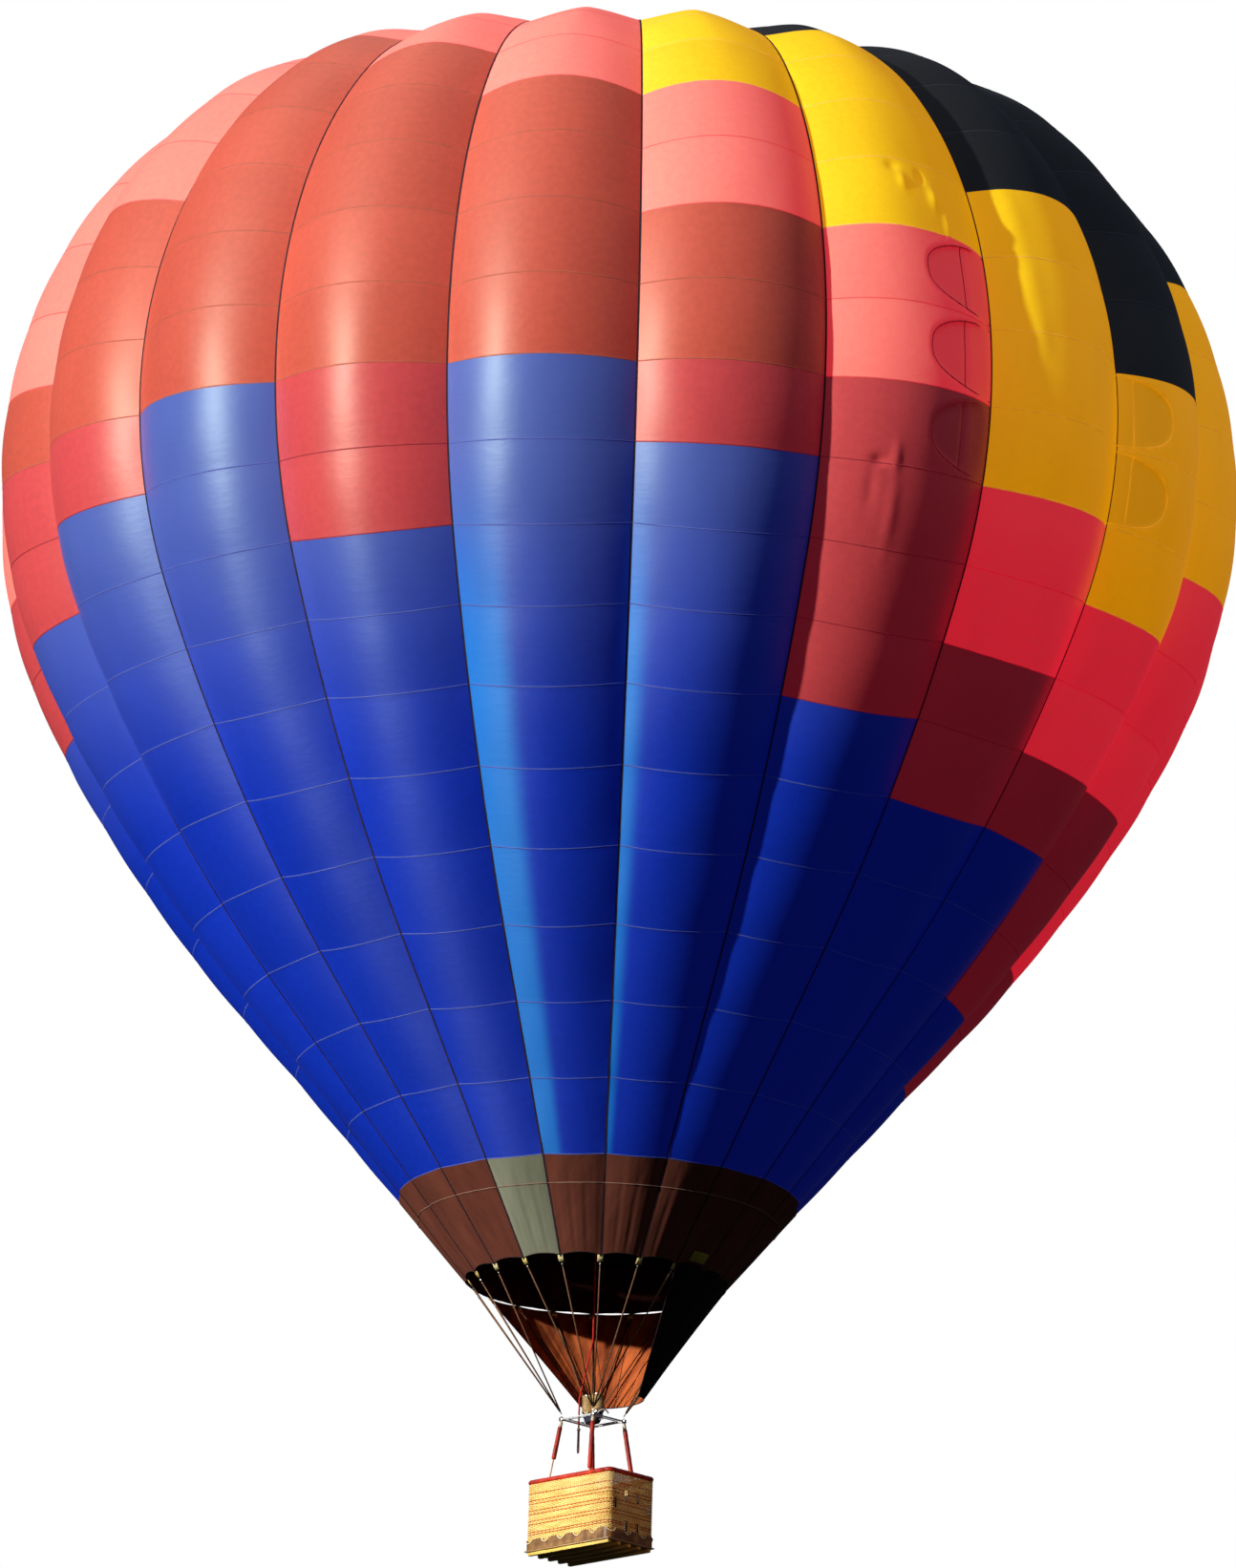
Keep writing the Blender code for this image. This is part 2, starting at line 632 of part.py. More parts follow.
clear_scene()
PIECES = make_collection("hot_air_balloon")
CUTTERS = make_collection("cutters")
vent_slide = empty_at("vent_slide", (0.0, 0.0, CROWN_Z - VENT_PANEL_DROP))
ring_hinge = empty_at("ring_hinge", (0.0, 0.0, FRAME_Z))
burner_hinge = empty_at("burner_hinge", (0.0, 0.0, FRAME_Z))
build_gores()
build_mouth_band()
build_crown()
build_vent(vent_slide)
build_scoop()
build_wires()
build_burner_frame()
build_gimbal(ring_hinge, burner_hinge)
build_coils(burner_hinge)
build_uprights()
build_basket()
build_gas_cylinders()
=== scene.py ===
"""Hot air balloon in flight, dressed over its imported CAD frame.

Metres, +Z up, in the CAD's own frame: the origin is on the upright axis at the envelope's widest
ring, the basket's long sides run along X and the scoop opens towards -Y.
"""
import math

import bmesh
import bpy
import numpy as np
from mathutils import Matrix, Vector, noise


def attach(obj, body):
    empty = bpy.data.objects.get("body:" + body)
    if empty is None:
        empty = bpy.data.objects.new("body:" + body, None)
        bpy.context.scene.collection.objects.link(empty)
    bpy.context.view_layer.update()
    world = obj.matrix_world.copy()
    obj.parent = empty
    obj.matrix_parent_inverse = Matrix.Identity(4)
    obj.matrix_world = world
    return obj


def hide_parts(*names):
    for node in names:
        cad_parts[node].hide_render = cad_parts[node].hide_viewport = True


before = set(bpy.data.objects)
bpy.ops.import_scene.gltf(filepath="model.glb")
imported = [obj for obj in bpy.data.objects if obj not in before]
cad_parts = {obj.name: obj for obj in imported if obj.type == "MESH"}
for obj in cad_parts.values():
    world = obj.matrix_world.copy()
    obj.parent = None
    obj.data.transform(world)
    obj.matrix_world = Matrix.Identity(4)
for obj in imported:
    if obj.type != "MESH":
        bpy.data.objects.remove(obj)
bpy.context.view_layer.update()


# Camera. The picture was taken from the ground, about 240 m away and 69 m below the widest ring,
# with a long lens tilted up and turned a little anticlockwise.
CAMERA_AZIMUTH = math.radians(43.495)
CAMERA_AWAY = 240.19
CAMERA_Z = -69.36
CAMERA_TILT = math.radians(15.134)
CAMERA_YAW = math.radians(0.030)
CAMERA_ROLL = math.radians(1.532)
LENS = 373.7
SENSOR = 36.0


def add_camera():
    aside = Vector((math.cos(CAMERA_AZIMUTH), math.sin(CAMERA_AZIMUTH), 0.0))
    ahead = Vector((-math.sin(CAMERA_AZIMUTH), math.cos(CAMERA_AZIMUTH), 0.0))
    level = aside * math.sin(CAMERA_YAW) + ahead * math.cos(CAMERA_YAW)
    forward = level * math.cos(CAMERA_TILT) + Vector((0, 0, math.sin(CAMERA_TILT)))
    right = forward.cross(Vector((0, 0, 1))).normalized()
    up = right.cross(forward)
    right_rolled = right * math.cos(CAMERA_ROLL) + up * math.sin(CAMERA_ROLL)
    up_rolled = up * math.cos(CAMERA_ROLL) - right * math.sin(CAMERA_ROLL)
    data = bpy.data.cameras.new("camera")
    data.lens = LENS
    data.sensor_width = SENSOR
    data.clip_start = 1.0
    data.clip_end = 20000.0
    camera = bpy.data.objects.new("camera", data)
    bpy.context.scene.collection.objects.link(camera)
    turn = Matrix((right_rolled, up_rolled, -forward)).transposed().to_4x4()
    place = ahead * -CAMERA_AWAY + Vector((0, 0, CAMERA_Z))
    camera.matrix_world = Matrix.Translation(place) @ turn
    bpy.context.scene.camera = camera


add_camera()


# Envelope cloth. Twenty gores of coated ripstop nylon run from the vent's edge to the fireproof
# band. Each is sewn from nineteen rows of panels, cut wider than the tapes' spacing, so that the
# hot air bulges it out between them.
GORES = 20
GORE_ANGLE = 2 * math.pi / GORES
CROWN_ARC = 5.27
CROWN_START = math.radians(13.0)
CROWN_END = math.radians(15.5)
EDGE_ARC = 2.20
EDGE_END = math.radians(45.35)
SHOULDER_ARC = 5.67
BELLY_ARC = 3.00
BELLY_END = math.radians(113.7)
WAIST_ARC = 6.17
CONE_ANGLE = math.radians(129.0)
CONE_LENGTH = 5.30
UPPER_ROW = 1.206
LOWER_ROW = 1.264
TOP_ROW = 0.98
FIRST_SEAM = 0.356
LOWER_ROWS_FROM = 4
VENT_ROW = -9
FIREPROOF_ROW = 10
FULLNESS = 0.051
VENT_FULLNESS = 0.55
MOUTH_FULLNESS = 0.22
FULL_ROWS_BELOW_VENT = 5
FULL_ROWS_ABOVE_MOUTH = 8
SEAM_DRAW = 0.014
BILLOW = 0.014
CROWN_PLEAT = 0.11
PLEAT_FADES = (-6.6, -4)
CROWN_FOLDS = {-4: 0.12, -3: 0.07, -2: -0.06}
FINE_GRID = (72, 24)
PLAIN_GRID = (32, 12)
MERIDIAN_PIECES = (
    # (length, heading at its start, turn)
    (CROWN_ARC, CROWN_START, CROWN_END - CROWN_START),
    (EDGE_ARC, CROWN_END, EDGE_END - CROWN_END),
    (SHOULDER_ARC, EDGE_END, math.pi / 2 - EDGE_END),
    (BELLY_ARC, math.pi / 2, BELLY_END - math.pi / 2),
    (WAIST_ARC, BELLY_END, CONE_ANGLE - BELLY_END),
    (CONE_LENGTH, CONE_ANGLE, 0.0),
)
EQUATOR = CROWN_ARC + EDGE_ARC + SHOULDER_ARC
MERIDIAN = EQUATOR + BELLY_ARC + WAIST_ARC + CONE_LENGTH
SAIL_COLOURS = {
    # cloth: (base colour, painted glow, an emission that stands in for light shining through it)
    "black": ((0.006, 0.009, 0.014), (0.000, 0.001, 0.003)),
    "yellow": ((0.840, 0.740, 0.003), (0.520, 0.185, 0.000)),
    "pink": ((0.900, 0.360, 0.280), (0.520, 0.003, 0.018)),
    "brick": ((0.740, 0.125, 0.075), (0.060, 0.001, 0.003)),
    "crimson": ((0.760, 0.090, 0.095), (0.080, 0.001, 0.006)),
    "blue": ((0.003, 0.042, 0.660), (0.000, 0.001, 0.055)),
}
SAIL_TINTS_AND_PAINTED_LIGHT = {
    # cloth: the tint of its gloss, its paler top, and the painted reflected light beside some tapes
    "blue": {"gloss": (0.75, 1.0, 1.0, 1.0), "paler_top": (0.120, 0.185, 0.570),
             "painted_reflection": (0.010, 0.300, 1.000)},
}
PALER_TOP_HEIGHTS = (-6.4, -1.2)
DULL_HEIGHTS = (-0.6, 4.0)
SEAM_COLOURS = {
    # cloth: colour of the folded, stitched seam in it
    "black": (0.045, 0.050, 0.060),
    "yellow": (0.900, 0.760, 0.150),
    "pink": (0.640, 0.180, 0.150),
    "brick": (0.620, 0.160, 0.090),
    "crimson": (0.420, 0.040, 0.050),
    "blue": (0.110, 0.160, 0.560),
}
PAINTED_REFLECTION_STRIPS = {
    # gore: (across the gore where the strip of painted reflected light beside its left tape ends,
    # softness of its edge)
    -3: (-0.42, 0.16),
    -2: (-0.82, 0.12),
}
PANEL_COLOURS = {
    # gore, counted from +X: (cloth, last seam it reaches) from the top; blue below the last
    -8: (("pink", 1), ("crimson", 3)),
    -7: (("pink", -1), ("brick", 0), ("crimson", 2)),
    -6: (("pink", -3), ("brick", 0), ("crimson", 1)),
    -5: (("pink", -6), ("brick", 0)),
    -4: (("pink", -5), ("brick", 0), ("crimson", 2)),
    -3: (("pink", -4), ("brick", 0)),
    -2: (("yellow", -4), ("pink", -2), ("brick", 0), ("crimson", 1)),
    -1: (("black", -6), ("yellow", -2), ("pink", 0), ("crimson", 4)),
    0: (("black", -3), ("yellow", 1), ("pink", 3), ("crimson", 5)),
    1: (("black", -1), ("yellow", 2), ("pink", 4), ("crimson", 5)),
    2: (("black", -3), ("yellow", 1), ("pink", 4), ("crimson", 7)),
    3: (("black", -4), ("yellow", 0), ("pink", 6), ("crimson", 8)),
    4: (("black", -5), ("yellow", -1), ("pink", 4), ("crimson", 6)),
    5: (("black", -6), ("yellow", -2), ("pink", 2), ("crimson", 5)),
    6: (("yellow", -4), ("pink", 0), ("brick", 2), ("crimson", 4)),
    7: (("yellow", -5), ("pink", -2), ("brick", 1), ("crimson", 3)),
    8: (("yellow", -6), ("pink", -3), ("brick", 0), ("crimson", 2)),
    9: (("yellow", -5), ("pink", -1), ("brick", 1), ("crimson", 3)),
    10: (("yellow", -4), ("pink", 0), ("brick", 2), ("crimson", 4)),
    11: (("yellow", -3), ("pink", 2), ("crimson", 4)),
}
DENTS = (
    # (gore, seam, across, half width, half height, depth): tucks pulled in; a ridge is below zero
    (-1, 0.97, -0.42, 0.10, 0.07, 0.055),
    (-1, 0.90, -0.26, 0.07, 0.20, -0.030),
    (-1, 1.55, -0.24, 0.09, 0.50, -0.022),
    (-1, 1.30, -0.48, 0.08, 0.30, 0.022),
    (-1, -2.88, -0.18, 0.10, 0.08, 0.045),
    (-1, -2.66, -0.10, 0.07, 0.14, -0.036),
    (-1, -2.78, 0.16, 0.06, 0.10, 0.045),
    (-1, -2.50, 0.28, 0.08, 0.16, -0.050),
    (-1, -2.15, 0.41, 0.05, 0.22, -0.026),
    (-1, -2.60, 0.20, 0.50, 1.90, 0.060),
    (0, -2.60, -0.60, 0.18, 0.60, -0.025),
    (0, -1.65, -0.56, 0.18, 0.55, -0.030),
    (0, -0.95, -0.50, 0.16, 0.40, -0.025),
)
POCKET_HALF = 0.46
POCKET_SQUARENESS = 2.6
POCKETS = (
    # (gore, row's upper seam, side of the tape it lies on, reach from it, depth, its upright fold)
    (-1, -2, 1, 0.94, 0.060, 0.56),
    (-1, -1, 1, 0.94, 0.060, 0.52),
    (-1, 0, 1, 0.90, 0.060, 0.52),
    (1, -1, -1, 0.70, 0.045, 0.80),
    (1, 0, -1, 0.68, 0.045, 0.80),
)


def meridian_from_crown(distance):
    """Radius, height below the crown and heading at a distance along a load tape."""
    radius, height = 0.0, 0.0
    for length, heading, turn in MERIDIAN_PIECES:
        step = min(distance, length)
        if turn == 0.0:
            radius += step * math.cos(heading)
            height -= step * math.sin(heading)
        else:
            bend, end = length / turn, heading + turn * step / length
            radius += bend * (math.sin(end) - math.sin(heading))
            height += bend * (math.cos(end) - math.cos(heading))
            heading = end
        distance -= step
        if distance <= 1e-9:
            break
    return radius, height, heading


CROWN_Z = -meridian_from_crown(EQUATOR)[1]


def meridian(distance):
    radius, height, heading = meridian_from_crown(distance)
    return radius, height + CROWN_Z, heading


def seam_distance(seam):
    """How far down the meridian a seam between two rows lies; parts of rows are allowed."""
    top = max(0.0, VENT_ROW + 1 - seam)
    lower = max(0.0, seam - LOWER_ROWS_FROM)
    middle = seam + top - lower
    return EQUATOR + FIRST_SEAM + middle * UPPER_ROW + lower * LOWER_ROW - top * TOP_ROW


def fullness(distance):
    from_vent = (distance - seam_distance(VENT_ROW)) / (FULL_ROWS_BELOW_VENT * UPPER_ROW)
    from_mouth = (MERIDIAN - distance) / (FULL_ROWS_ABOVE_MOUTH * LOWER_ROW)
    top = VENT_FULLNESS + (1 - VENT_FULLNESS) * min(1.0, max(0.0, from_vent))
    bottom = MOUTH_FULLNESS + (1 - MOUTH_FULLNESS) * min(1.0, max(0.0, from_mouth))
    return FULLNESS * top * bottom


def smoothstep(low, high, x):
    t = np.clip((x - low) / (high - low), 0.0, 1.0)
    return t * t * (3 - 2 * t)


def billow(gore, distance, across, half_width):
    """Slow waves of the cloth between its seams, dying away at the tapes."""
    waves = np.empty_like(across)
    for index, share in enumerate(across):
        place = Vector((share * half_width * 0.55 + 7.3 * gore, distance * 0.42, 1.7 * gore))
        waves[index] = noise.noise(place) + 0.45 * noise.noise(place * 2.7)
    return BILLOW * (waves - 0.4) * (1 - across ** 4)


def pleat(gore, distance, across):
    """The soft upright fold along each gore's middle, where it leaves the vent's edge."""
    fade = 1 - smoothstep(*map(seam_distance, PLEAT_FADES), np.float64(distance))
    away = across - CROWN_FOLDS.get(gore, 0.12 * math.sin(2.4 * gore))
    return -CROWN_PLEAT * fade * (np.sqrt(away ** 2 + 0.002) - 0.04) * (1 - across ** 2)


def pocket_bow(row, seam):
    """How wide a pocket's round outline is at a height in its row: 1 halfway, 0 at the ends."""
    height = (seam - row - 0.5) / POCKET_HALF
    return math.sqrt(max(0.0, 1 - abs(height) ** POCKET_SQUARENESS))


def local_marks(gore, seam, across, half_width):
    """Tucks and ridges, and the round-ended pockets beside two of the tapes."""
    depth = np.zeros_like(across)
    for home, row, middle, width, height, deep in DENTS:
        if home == gore and abs(seam - row) * UPPER_ROW < 3 * height:
            x = (across - middle) * half_width / width
            y = (seam - row) * UPPER_ROW / height
            depth -= deep * np.exp(-x * x - y * y)
    for home, row, side, reach, deep, fold in POCKETS:
        if home == gore and row < seam < row + 1:
            y = (seam - row - 0.5) / POCKET_HALF
            bow = pocket_bow(row, seam)
            edge = 1 - reach * bow
            place = side * across
            inside = smoothstep(edge - 0.03, edge + 0.05, place) * smoothstep(1.0, 0.7, place)
            crease = 0.35 * np.exp(-((place - fold) / 0.03) ** 2) * bow
            depth -= deep * (inside * bow * (1 - 0.5 * (y + 1) / 2) + crease)
    return depth


def painted_light_mark(gore, seam, across):
    """How strongly painted reflected light lies on the blue cloth beside a gore's left tape, from 0
    to 1; in the other colours, painted shade inside the pockets, whose second layer also dims the
    painted glow."""
    if gore in PAINTED_REFLECTION_STRIPS:
        edge, soft = PAINTED_REFLECTION_STRIPS[gore]
        return smoothstep(0.8, 4.0, seam) * (1 - smoothstep(edge - soft, edge + soft, across))
    doubled_and_shaded = np.zeros_like(across)
    for home, row, side, reach, _, fold in POCKETS:
        if home == gore and row < seam < row + 1:
            edge = 1 - reach * pocket_bow(row, seam)
            inside = smoothstep(edge - 0.02, edge + 0.02, side * across)
            doubled_and_shaded += inside * (1 - 0.45 * smoothstep(fold - 0.02, fold + 0.04, side * across))
    return doubled_and_shaded


def skin(gore, seam, across, lift=0.0, detail=True):
    """Points of a gore's outer face at one height; across runs from -1 to 1 between its tapes."""
    distance = seam_distance(seam)
    radius, height, heading = meridian(distance)
    half_width = radius * GORE_ANGLE / 2
    rise = fullness(distance) * radius * (1 - across ** 2) + lift
    if detail:
        rise = rise - SEAM_DRAW * (1 - abs(math.sin(math.pi * seam))) * (1 - across ** 6)
        rise = rise + billow(gore, distance, across, half_width)
        rise = rise + pleat(gore, distance, across) + local_marks(gore, seam, across, half_width)
    out = radius + rise * math.sin(heading)
    z = height + rise * math.cos(heading)
    angle = (gore + across / 2) * GORE_ANGLE
    return np.stack([out * np.cos(angle), out * np.sin(angle), z], axis=-1)


class Value:
    """A shader socket with arithmetic: every operator adds a Math node behind it."""

    def __init__(self, finish, socket):
        self.finish = finish
        self.socket = socket

    def math(self, operation, *others):
        sockets = dict(enumerate((self, *others)))
        return self.finish.add("Math", {"operation": operation}, sockets)

    def __add__(self, other):
        return self.math("ADD", other)

    def __mul__(self, other):
        return self.math("MULTIPLY", other)

    __radd__ = __add__
    __rmul__ = __mul__

    def between(self, low, high):
        """0 below low, 1 above high and a soft step between them."""
        return self.finish.add("MapRange", {"interpolation_type": "SMOOTHSTEP"},
                               {"Value": self, "From Min": low, "From Max": high})


class Finish:
    """A material being made: one Principled shader, and one method that adds any node."""

    def __init__(self, name, roughness=0.5, metallic=0.0, **constants):
        self.material = bpy.data.materials.new(name)
        self.material.use_nodes = True
        self.tree = self.material.node_tree
        self.shader = self.tree.nodes["Principled BSDF"]
        self.shader.inputs["Roughness"].default_value = roughness
        self.shader.inputs["Metallic"].default_value = metallic
        for key, value in constants.items():
            self.shader.inputs[key.replace("_", " ")].default_value = value

    def add(self, kind, settings=None, sockets=None, output=0):
        node = self.tree.nodes.new(f"ShaderNode{kind}")
        for key, value in (settings or {}).items():
            if key == "stops":
                self.set_stops(node.color_ramp, value)
            else:
                setattr(node, key, value)
        for key, value in (sockets or {}).items():
            self.feed(node.inputs[key], value)
        return Value(self, node.outputs[output])

    def set_stops(self, ramp, stops):
        while len(ramp.elements) < len(stops):
            ramp.elements.new(0.5)
        for element, (place, colour) in zip(ramp.elements, stops):
            element.position = place
            element.color = (*colour, 1.0)

    def feed(self, socket, value):
        if isinstance(value, Value):
            self.tree.links.new(value.socket, socket)
        elif isinstance(value, (tuple, list)) and socket.type == "RGBA":
            socket.default_value = (*value[:3], 1.0)
        else:
            socket.default_value = value

    def where(self, scale=(1.0, 1.0, 1.0)):
        """The place on the object in metres, stretched along its axes."""
        place = self.add("TexCoord", output=3)
        return self.add("Mapping", None, {"Vector": place, "Scale": scale})

    def along_cloth(self, scale=(1.0, 1.0, 1.0)):
        """The place on a flat cut of the cloth in metres: across its width and down its length."""
        place = self.add("UVMap", {"uv_map": "cloth"})
        return self.add("Mapping", None, {"Vector": place, "Scale": scale})

    def mark(self, index):
        """One of the two values that a cloth's mesh carries: its painted light mark and its panel's
        tone.
        """
        return self.add("SeparateXYZ", None, {0: self.add("UVMap", {"uv_map": "marks"})},
                        output=index)

    def noise(self, place, scale, detail=3.0, roughness=0.5):
        return self.add("TexNoise", None, {"Vector": place, "Scale": scale, "Detail": detail,
                                           "Roughness": roughness})

    def mix(self, factor, first, second, blend="MIX"):
        """A colour between two colours."""
        return self.add("Mix", {"data_type": "RGBA", "blend_type": blend},
                        {0: factor, 6: first, 7: second}, output=2)

    def colour(self, value):
        self.feed(self.shader.inputs["Base Color"], value)

    def roughness(self, value):
        self.feed(self.shader.inputs["Roughness"], value)

    def glow(self, value):
        """Painted glow: an emission standing in for light that the cloth lets pass, on its outer
        face only.
        """
        inside = self.add("NewGeometry", output=6)
        self.feed(self.shader.inputs["Emission Color"], self.mix(inside, value, (0.0, 0.0, 0.0)))
        self.shader.inputs["Emission Strength"].default_value = 1.0

    def bump(self, height, distance, strength=1.0):
        relief = self.add("Bump", None, {"Height": height, "Distance": distance,
                                         "Strength": strength})
        self.feed(self.shader.inputs["Normal"], relief)


def scaled(colour, share):
    return tuple(channel * share for channel in colour)


def make_sail(name, base, through, gloss=(1.0, 0.93, 0.78, 1.0), paler_top=None, painted_reflection=None):
    """Coated ripstop: fine threads that draw the gloss out upright, faint stains and creases; the
    upper rows are duller and, in the blue, paler. Its emission is a painted glow for light that
    the cloth lets pass; the blue has painted reflected light beside some tapes, the other cloths
    painted shade in their pockets."""
    finish = Finish(f"sail_{name}", Specular_IOR_Level=1.0, Specular_Tint=gloss, Anisotropic=0.6,
                    Anisotropic_Rotation=0.25)
    cloth = finish.along_cloth()
    height = finish.add("SeparateXYZ", None, {0: finish.add("TexCoord", output=3)}, output=2)
    stains = finish.noise(finish.along_cloth((1.0, 0.35, 1.0)), 1.6, 4.0).between(0.42, 0.75)
    mottle = finish.noise(cloth, 9.0, 3.0).between(0.3, 0.7)
    pale = tuple(min(1.0, channel * 1.10 + 0.004) for channel in base)
    tone = finish.mix(mottle * 0.4 + finish.mark(1) * 0.6, scaled(base, 0.88), pale)
    if paler_top:
        # The blue turns paler and greyer towards the top.
        tone = finish.mix(height.between(*PALER_TOP_HEIGHTS) * 0.9, tone, paler_top)
        # Painted reflected light: a paler, cyan strip beside the left tape of two blue gores.
        tone = finish.mix(finish.mark(0) * 0.9, tone, painted_reflection)
    else:
        # Painted shade inside the pockets darkens the base colour; the painted glow is dimmed there
        # too, as the pocket's second layer lets less light pass.
        tone = finish.mix(finish.mark(0) * 0.22, tone, scaled(base, 0.6))
        through = finish.mix(finish.mark(0) * 0.2, through, scaled(through, 0.3))
    finish.roughness(height.between(*DULL_HEIGHTS) * 0.34 + 0.48)
    finish.colour(finish.mix(stains * 0.3, tone, finish.mix(0.18, tone, (0.0, 0.0, 0.0))))
    grid_across = finish.add("TexWave", {"bands_direction": "X"}, {"Vector": cloth, "Scale": 60.0})
    grid_down = finish.add("TexWave", {"bands_direction": "Y"}, {"Vector": cloth, "Scale": 60.0})
    creases = finish.noise(finish.along_cloth((1.0, 3.0, 1.0)), 3.0, 5.0, 0.6)
    crumple = finish.noise(cloth, 14.0, 3.0)
    finish.bump(creases * 0.008 + crumple * 0.0012 + (grid_across + grid_down) * 0.00006, 1.0, 0.5)
    # Painted glow: emission standing in for light that the cloth lets pass.
    finish.glow(finish.mix(mottle * 0.06 + stains * 0.04, through, (0.0, 0.0, 0.0)))
    return finish.material


SAIL = {name: make_sail(name, *colours, **SAIL_TINTS_AND_PAINTED_LIGHT.get(name, {}))
        for name, colours in SAIL_COLOURS.items()}


def add_piece(name, mesh, body="balloon", slot=None, replaces=()):
    """Link a mesh as a piece of the balloon that rides on a CAD body."""
    piece = bpy.data.objects.new(name, mesh)
    bpy.context.scene.collection.objects.link(piece)
    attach(piece, body)
    if replaces:
        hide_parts(*replaces)
    return piece


def grid_mesh(name, points, materials, row_slots=None, maps=None):
    """A sheet through rows of points; row_slots gives each strip of faces its material, and maps
    the values that its corners carry."""
    rows, columns = points.shape[:2]
    quads = columns - 1
    first = (np.arange(rows - 1)[:, None] * columns + np.arange(quads)[None, :]).ravel()
    faces = np.stack([first, first + columns, first + columns + 1, first + 1], axis=1)
    mesh = bpy.data.meshes.new(name)
    mesh.from_pydata(points.reshape(-1, 3).tolist(), [], faces.tolist())
    for material in materials:
        mesh.materials.append(material)
    if row_slots is not None:
        mesh.polygons.foreach_set("material_index", np.repeat(row_slots, quads))
    for map_name, values in (maps or {}).items():
        layer = mesh.uv_layers.new(name=map_name)
        corners = values.reshape(-1, 2)[faces.ravel()]
        layer.data.foreach_set("uv", corners.astype(np.float32).ravel())
    mesh.use_auto_texspace = False
    mesh.texspace_location = (0.0, 0.0, 0.0)
    mesh.texspace_size = (10.0, 10.0, 17.0)
    mesh.polygons.foreach_set("use_smooth", np.ones(len(mesh.polygons), bool))
    mesh.update()
    return mesh


def flat_cut(points):
    """Each point's place on the flat cloth, from the distances across and down the sheet."""
    across = np.linalg.norm(np.diff(points, axis=1), axis=2)
    widths = np.concatenate([np.zeros((len(points), 1)), np.cumsum(across, axis=1)], axis=1)
    widths -= widths[:, -1:] / 2
    middle = points[:, points.shape[1] // 2]
    down = np.concatenate([[0.0], np.cumsum(np.linalg.norm(np.diff(middle, axis=0), axis=1))])
    return np.stack([widths, np.repeat(down[:, None], points.shape[1], axis=1)], axis=-1)


def cut_size(points):
    """Width and length of the flat cut, and its area."""
    cut = flat_cut(points)
    widths = cut[:, -1, 0] - cut[:, 0, 0]
    down = cut[:, 0, 1]
    area = float(np.sum((widths[1:] + widths[:-1]) / 2 * np.diff(down)))
    return (float(widths.max()), float(down[-1])), area


def numbered(stem, gore):
    """The name of a gore's piece or node, which count from 01."""
    return f"{stem}_{gore % GORES + 1:02d}"


def panel_cloth(gore, row):
    """The cloth of the panel between seam row and the next one down."""
    for cloth, last in PANEL_COLOURS[gore]:
        if row < last:
            return cloth
    return "blue"


def build_gore(gore):
    fine = gore in {mark[0] for mark in DENTS + POCKETS}
    columns, per_row = FINE_GRID if fine else PLAIN_GRID
    across = np.linspace(-1.0, 1.0, columns + 1)
    steps = (FIREPROOF_ROW - VENT_ROW) * per_row
    seams = [VENT_ROW + step / per_row for step in range(steps + 1)]
    points = np.array([skin(gore, seam, across) for seam in seams])
    cloths = [panel_cloth(gore, VENT_ROW + step // per_row) for step in range(steps)]
    used = sorted(set(cloths))
    marks = np.array([painted_light_mark(gore, seam, across) for seam in seams])
    tones = np.array([noise.random() for _ in range(VENT_ROW, FIREPROOF_ROW + 1)])
    panels = np.minimum(np.array(seams) - VENT_ROW - 1e-6, FIREPROOF_ROW - VENT_ROW).astype(int)
    toned = np.repeat(tones[panels][:, None], columns + 1, axis=1)
    name = numbered("gore_cloth", gore)
    mesh = grid_mesh(name, points, [SAIL[cloth] for cloth in used],
                     np.array([used.index(cloth) for cloth in cloths]),
                     {"cloth": flat_cut(points), "marks": np.stack([marks, toned], axis=-1)})
    cloth = add_piece(name, mesh, slot="gore_cloth", replaces=(numbered("gore", gore),))
    plain = np.array([skin(gore, seam, across, detail=False) for seam in seams[::per_row // 4]])
    return cloth, cut_size(plain)


noise.seed_set(7)
gore_cloths = {gore: build_gore(gore) for gore in PANEL_COLOURS}


# Seams. The rows are joined by flat felled seams, about 20 mm wide and four layers thick, which
# show as thin raised lines; webbing load tapes lie in the creases between the gores.
SEAM_HALF = 0.010
SEAM_LIFT = 0.004
TAPE_HALF = 0.013
TAPE_LIFT = 0.004
TAPE_ROWS = 200
TAPE_END = FIREPROOF_ROW + 1.36
WELT_RADIUS = 0.010
CRISP_ANGLE = math.radians(40)


def make_seam(name, base, through):
    """The cloth's own colour in four layers, with the needle's row of stitches, and its painted
    glow.
    """
    finish = Finish(f"{name}_seam", roughness=0.6)
    place = finish.where()
    worn = finish.noise(place, 5.0, 3.0).between(0.35, 0.65)
    finish.colour(finish.mix(worn, scaled(base, 0.85), base))
    stitches = finish.add("TexWave", {"bands_direction": "DIAGONAL"}, {"Vector": place,
                                                                       "Scale": 90.0})
    finish.bump(stitches, 0.0008, 0.5)
    # Painted glow: emission standing in for light that the seam's cloth lets pass.
    finish.glow(finish.mix(worn, scaled(through, 0.8), through))
    return finish.material


SEAMS = {name: make_seam(name, colour, SAIL_COLOURS[name][1])
         for name, colour in SEAM_COLOURS.items()}


def make_webbing(name, dark, light):
    """Woven polyester tape: a herringbone of threads and a little dirt."""
    finish = Finish(name, roughness=0.75)
    cloth = finish.where()
    weave = finish.add("TexWave", {"bands_direction": "DIAGONAL"}, {"Vector": cloth,
                                                                    "Scale": 160.0})
    dirt = finish.noise(cloth, 4.0).between(0.3, 0.7)
    finish.colour(finish.mix(dirt, dark, light))
    finish.bump(weave, 0.0006, 0.5)
    return finish.material


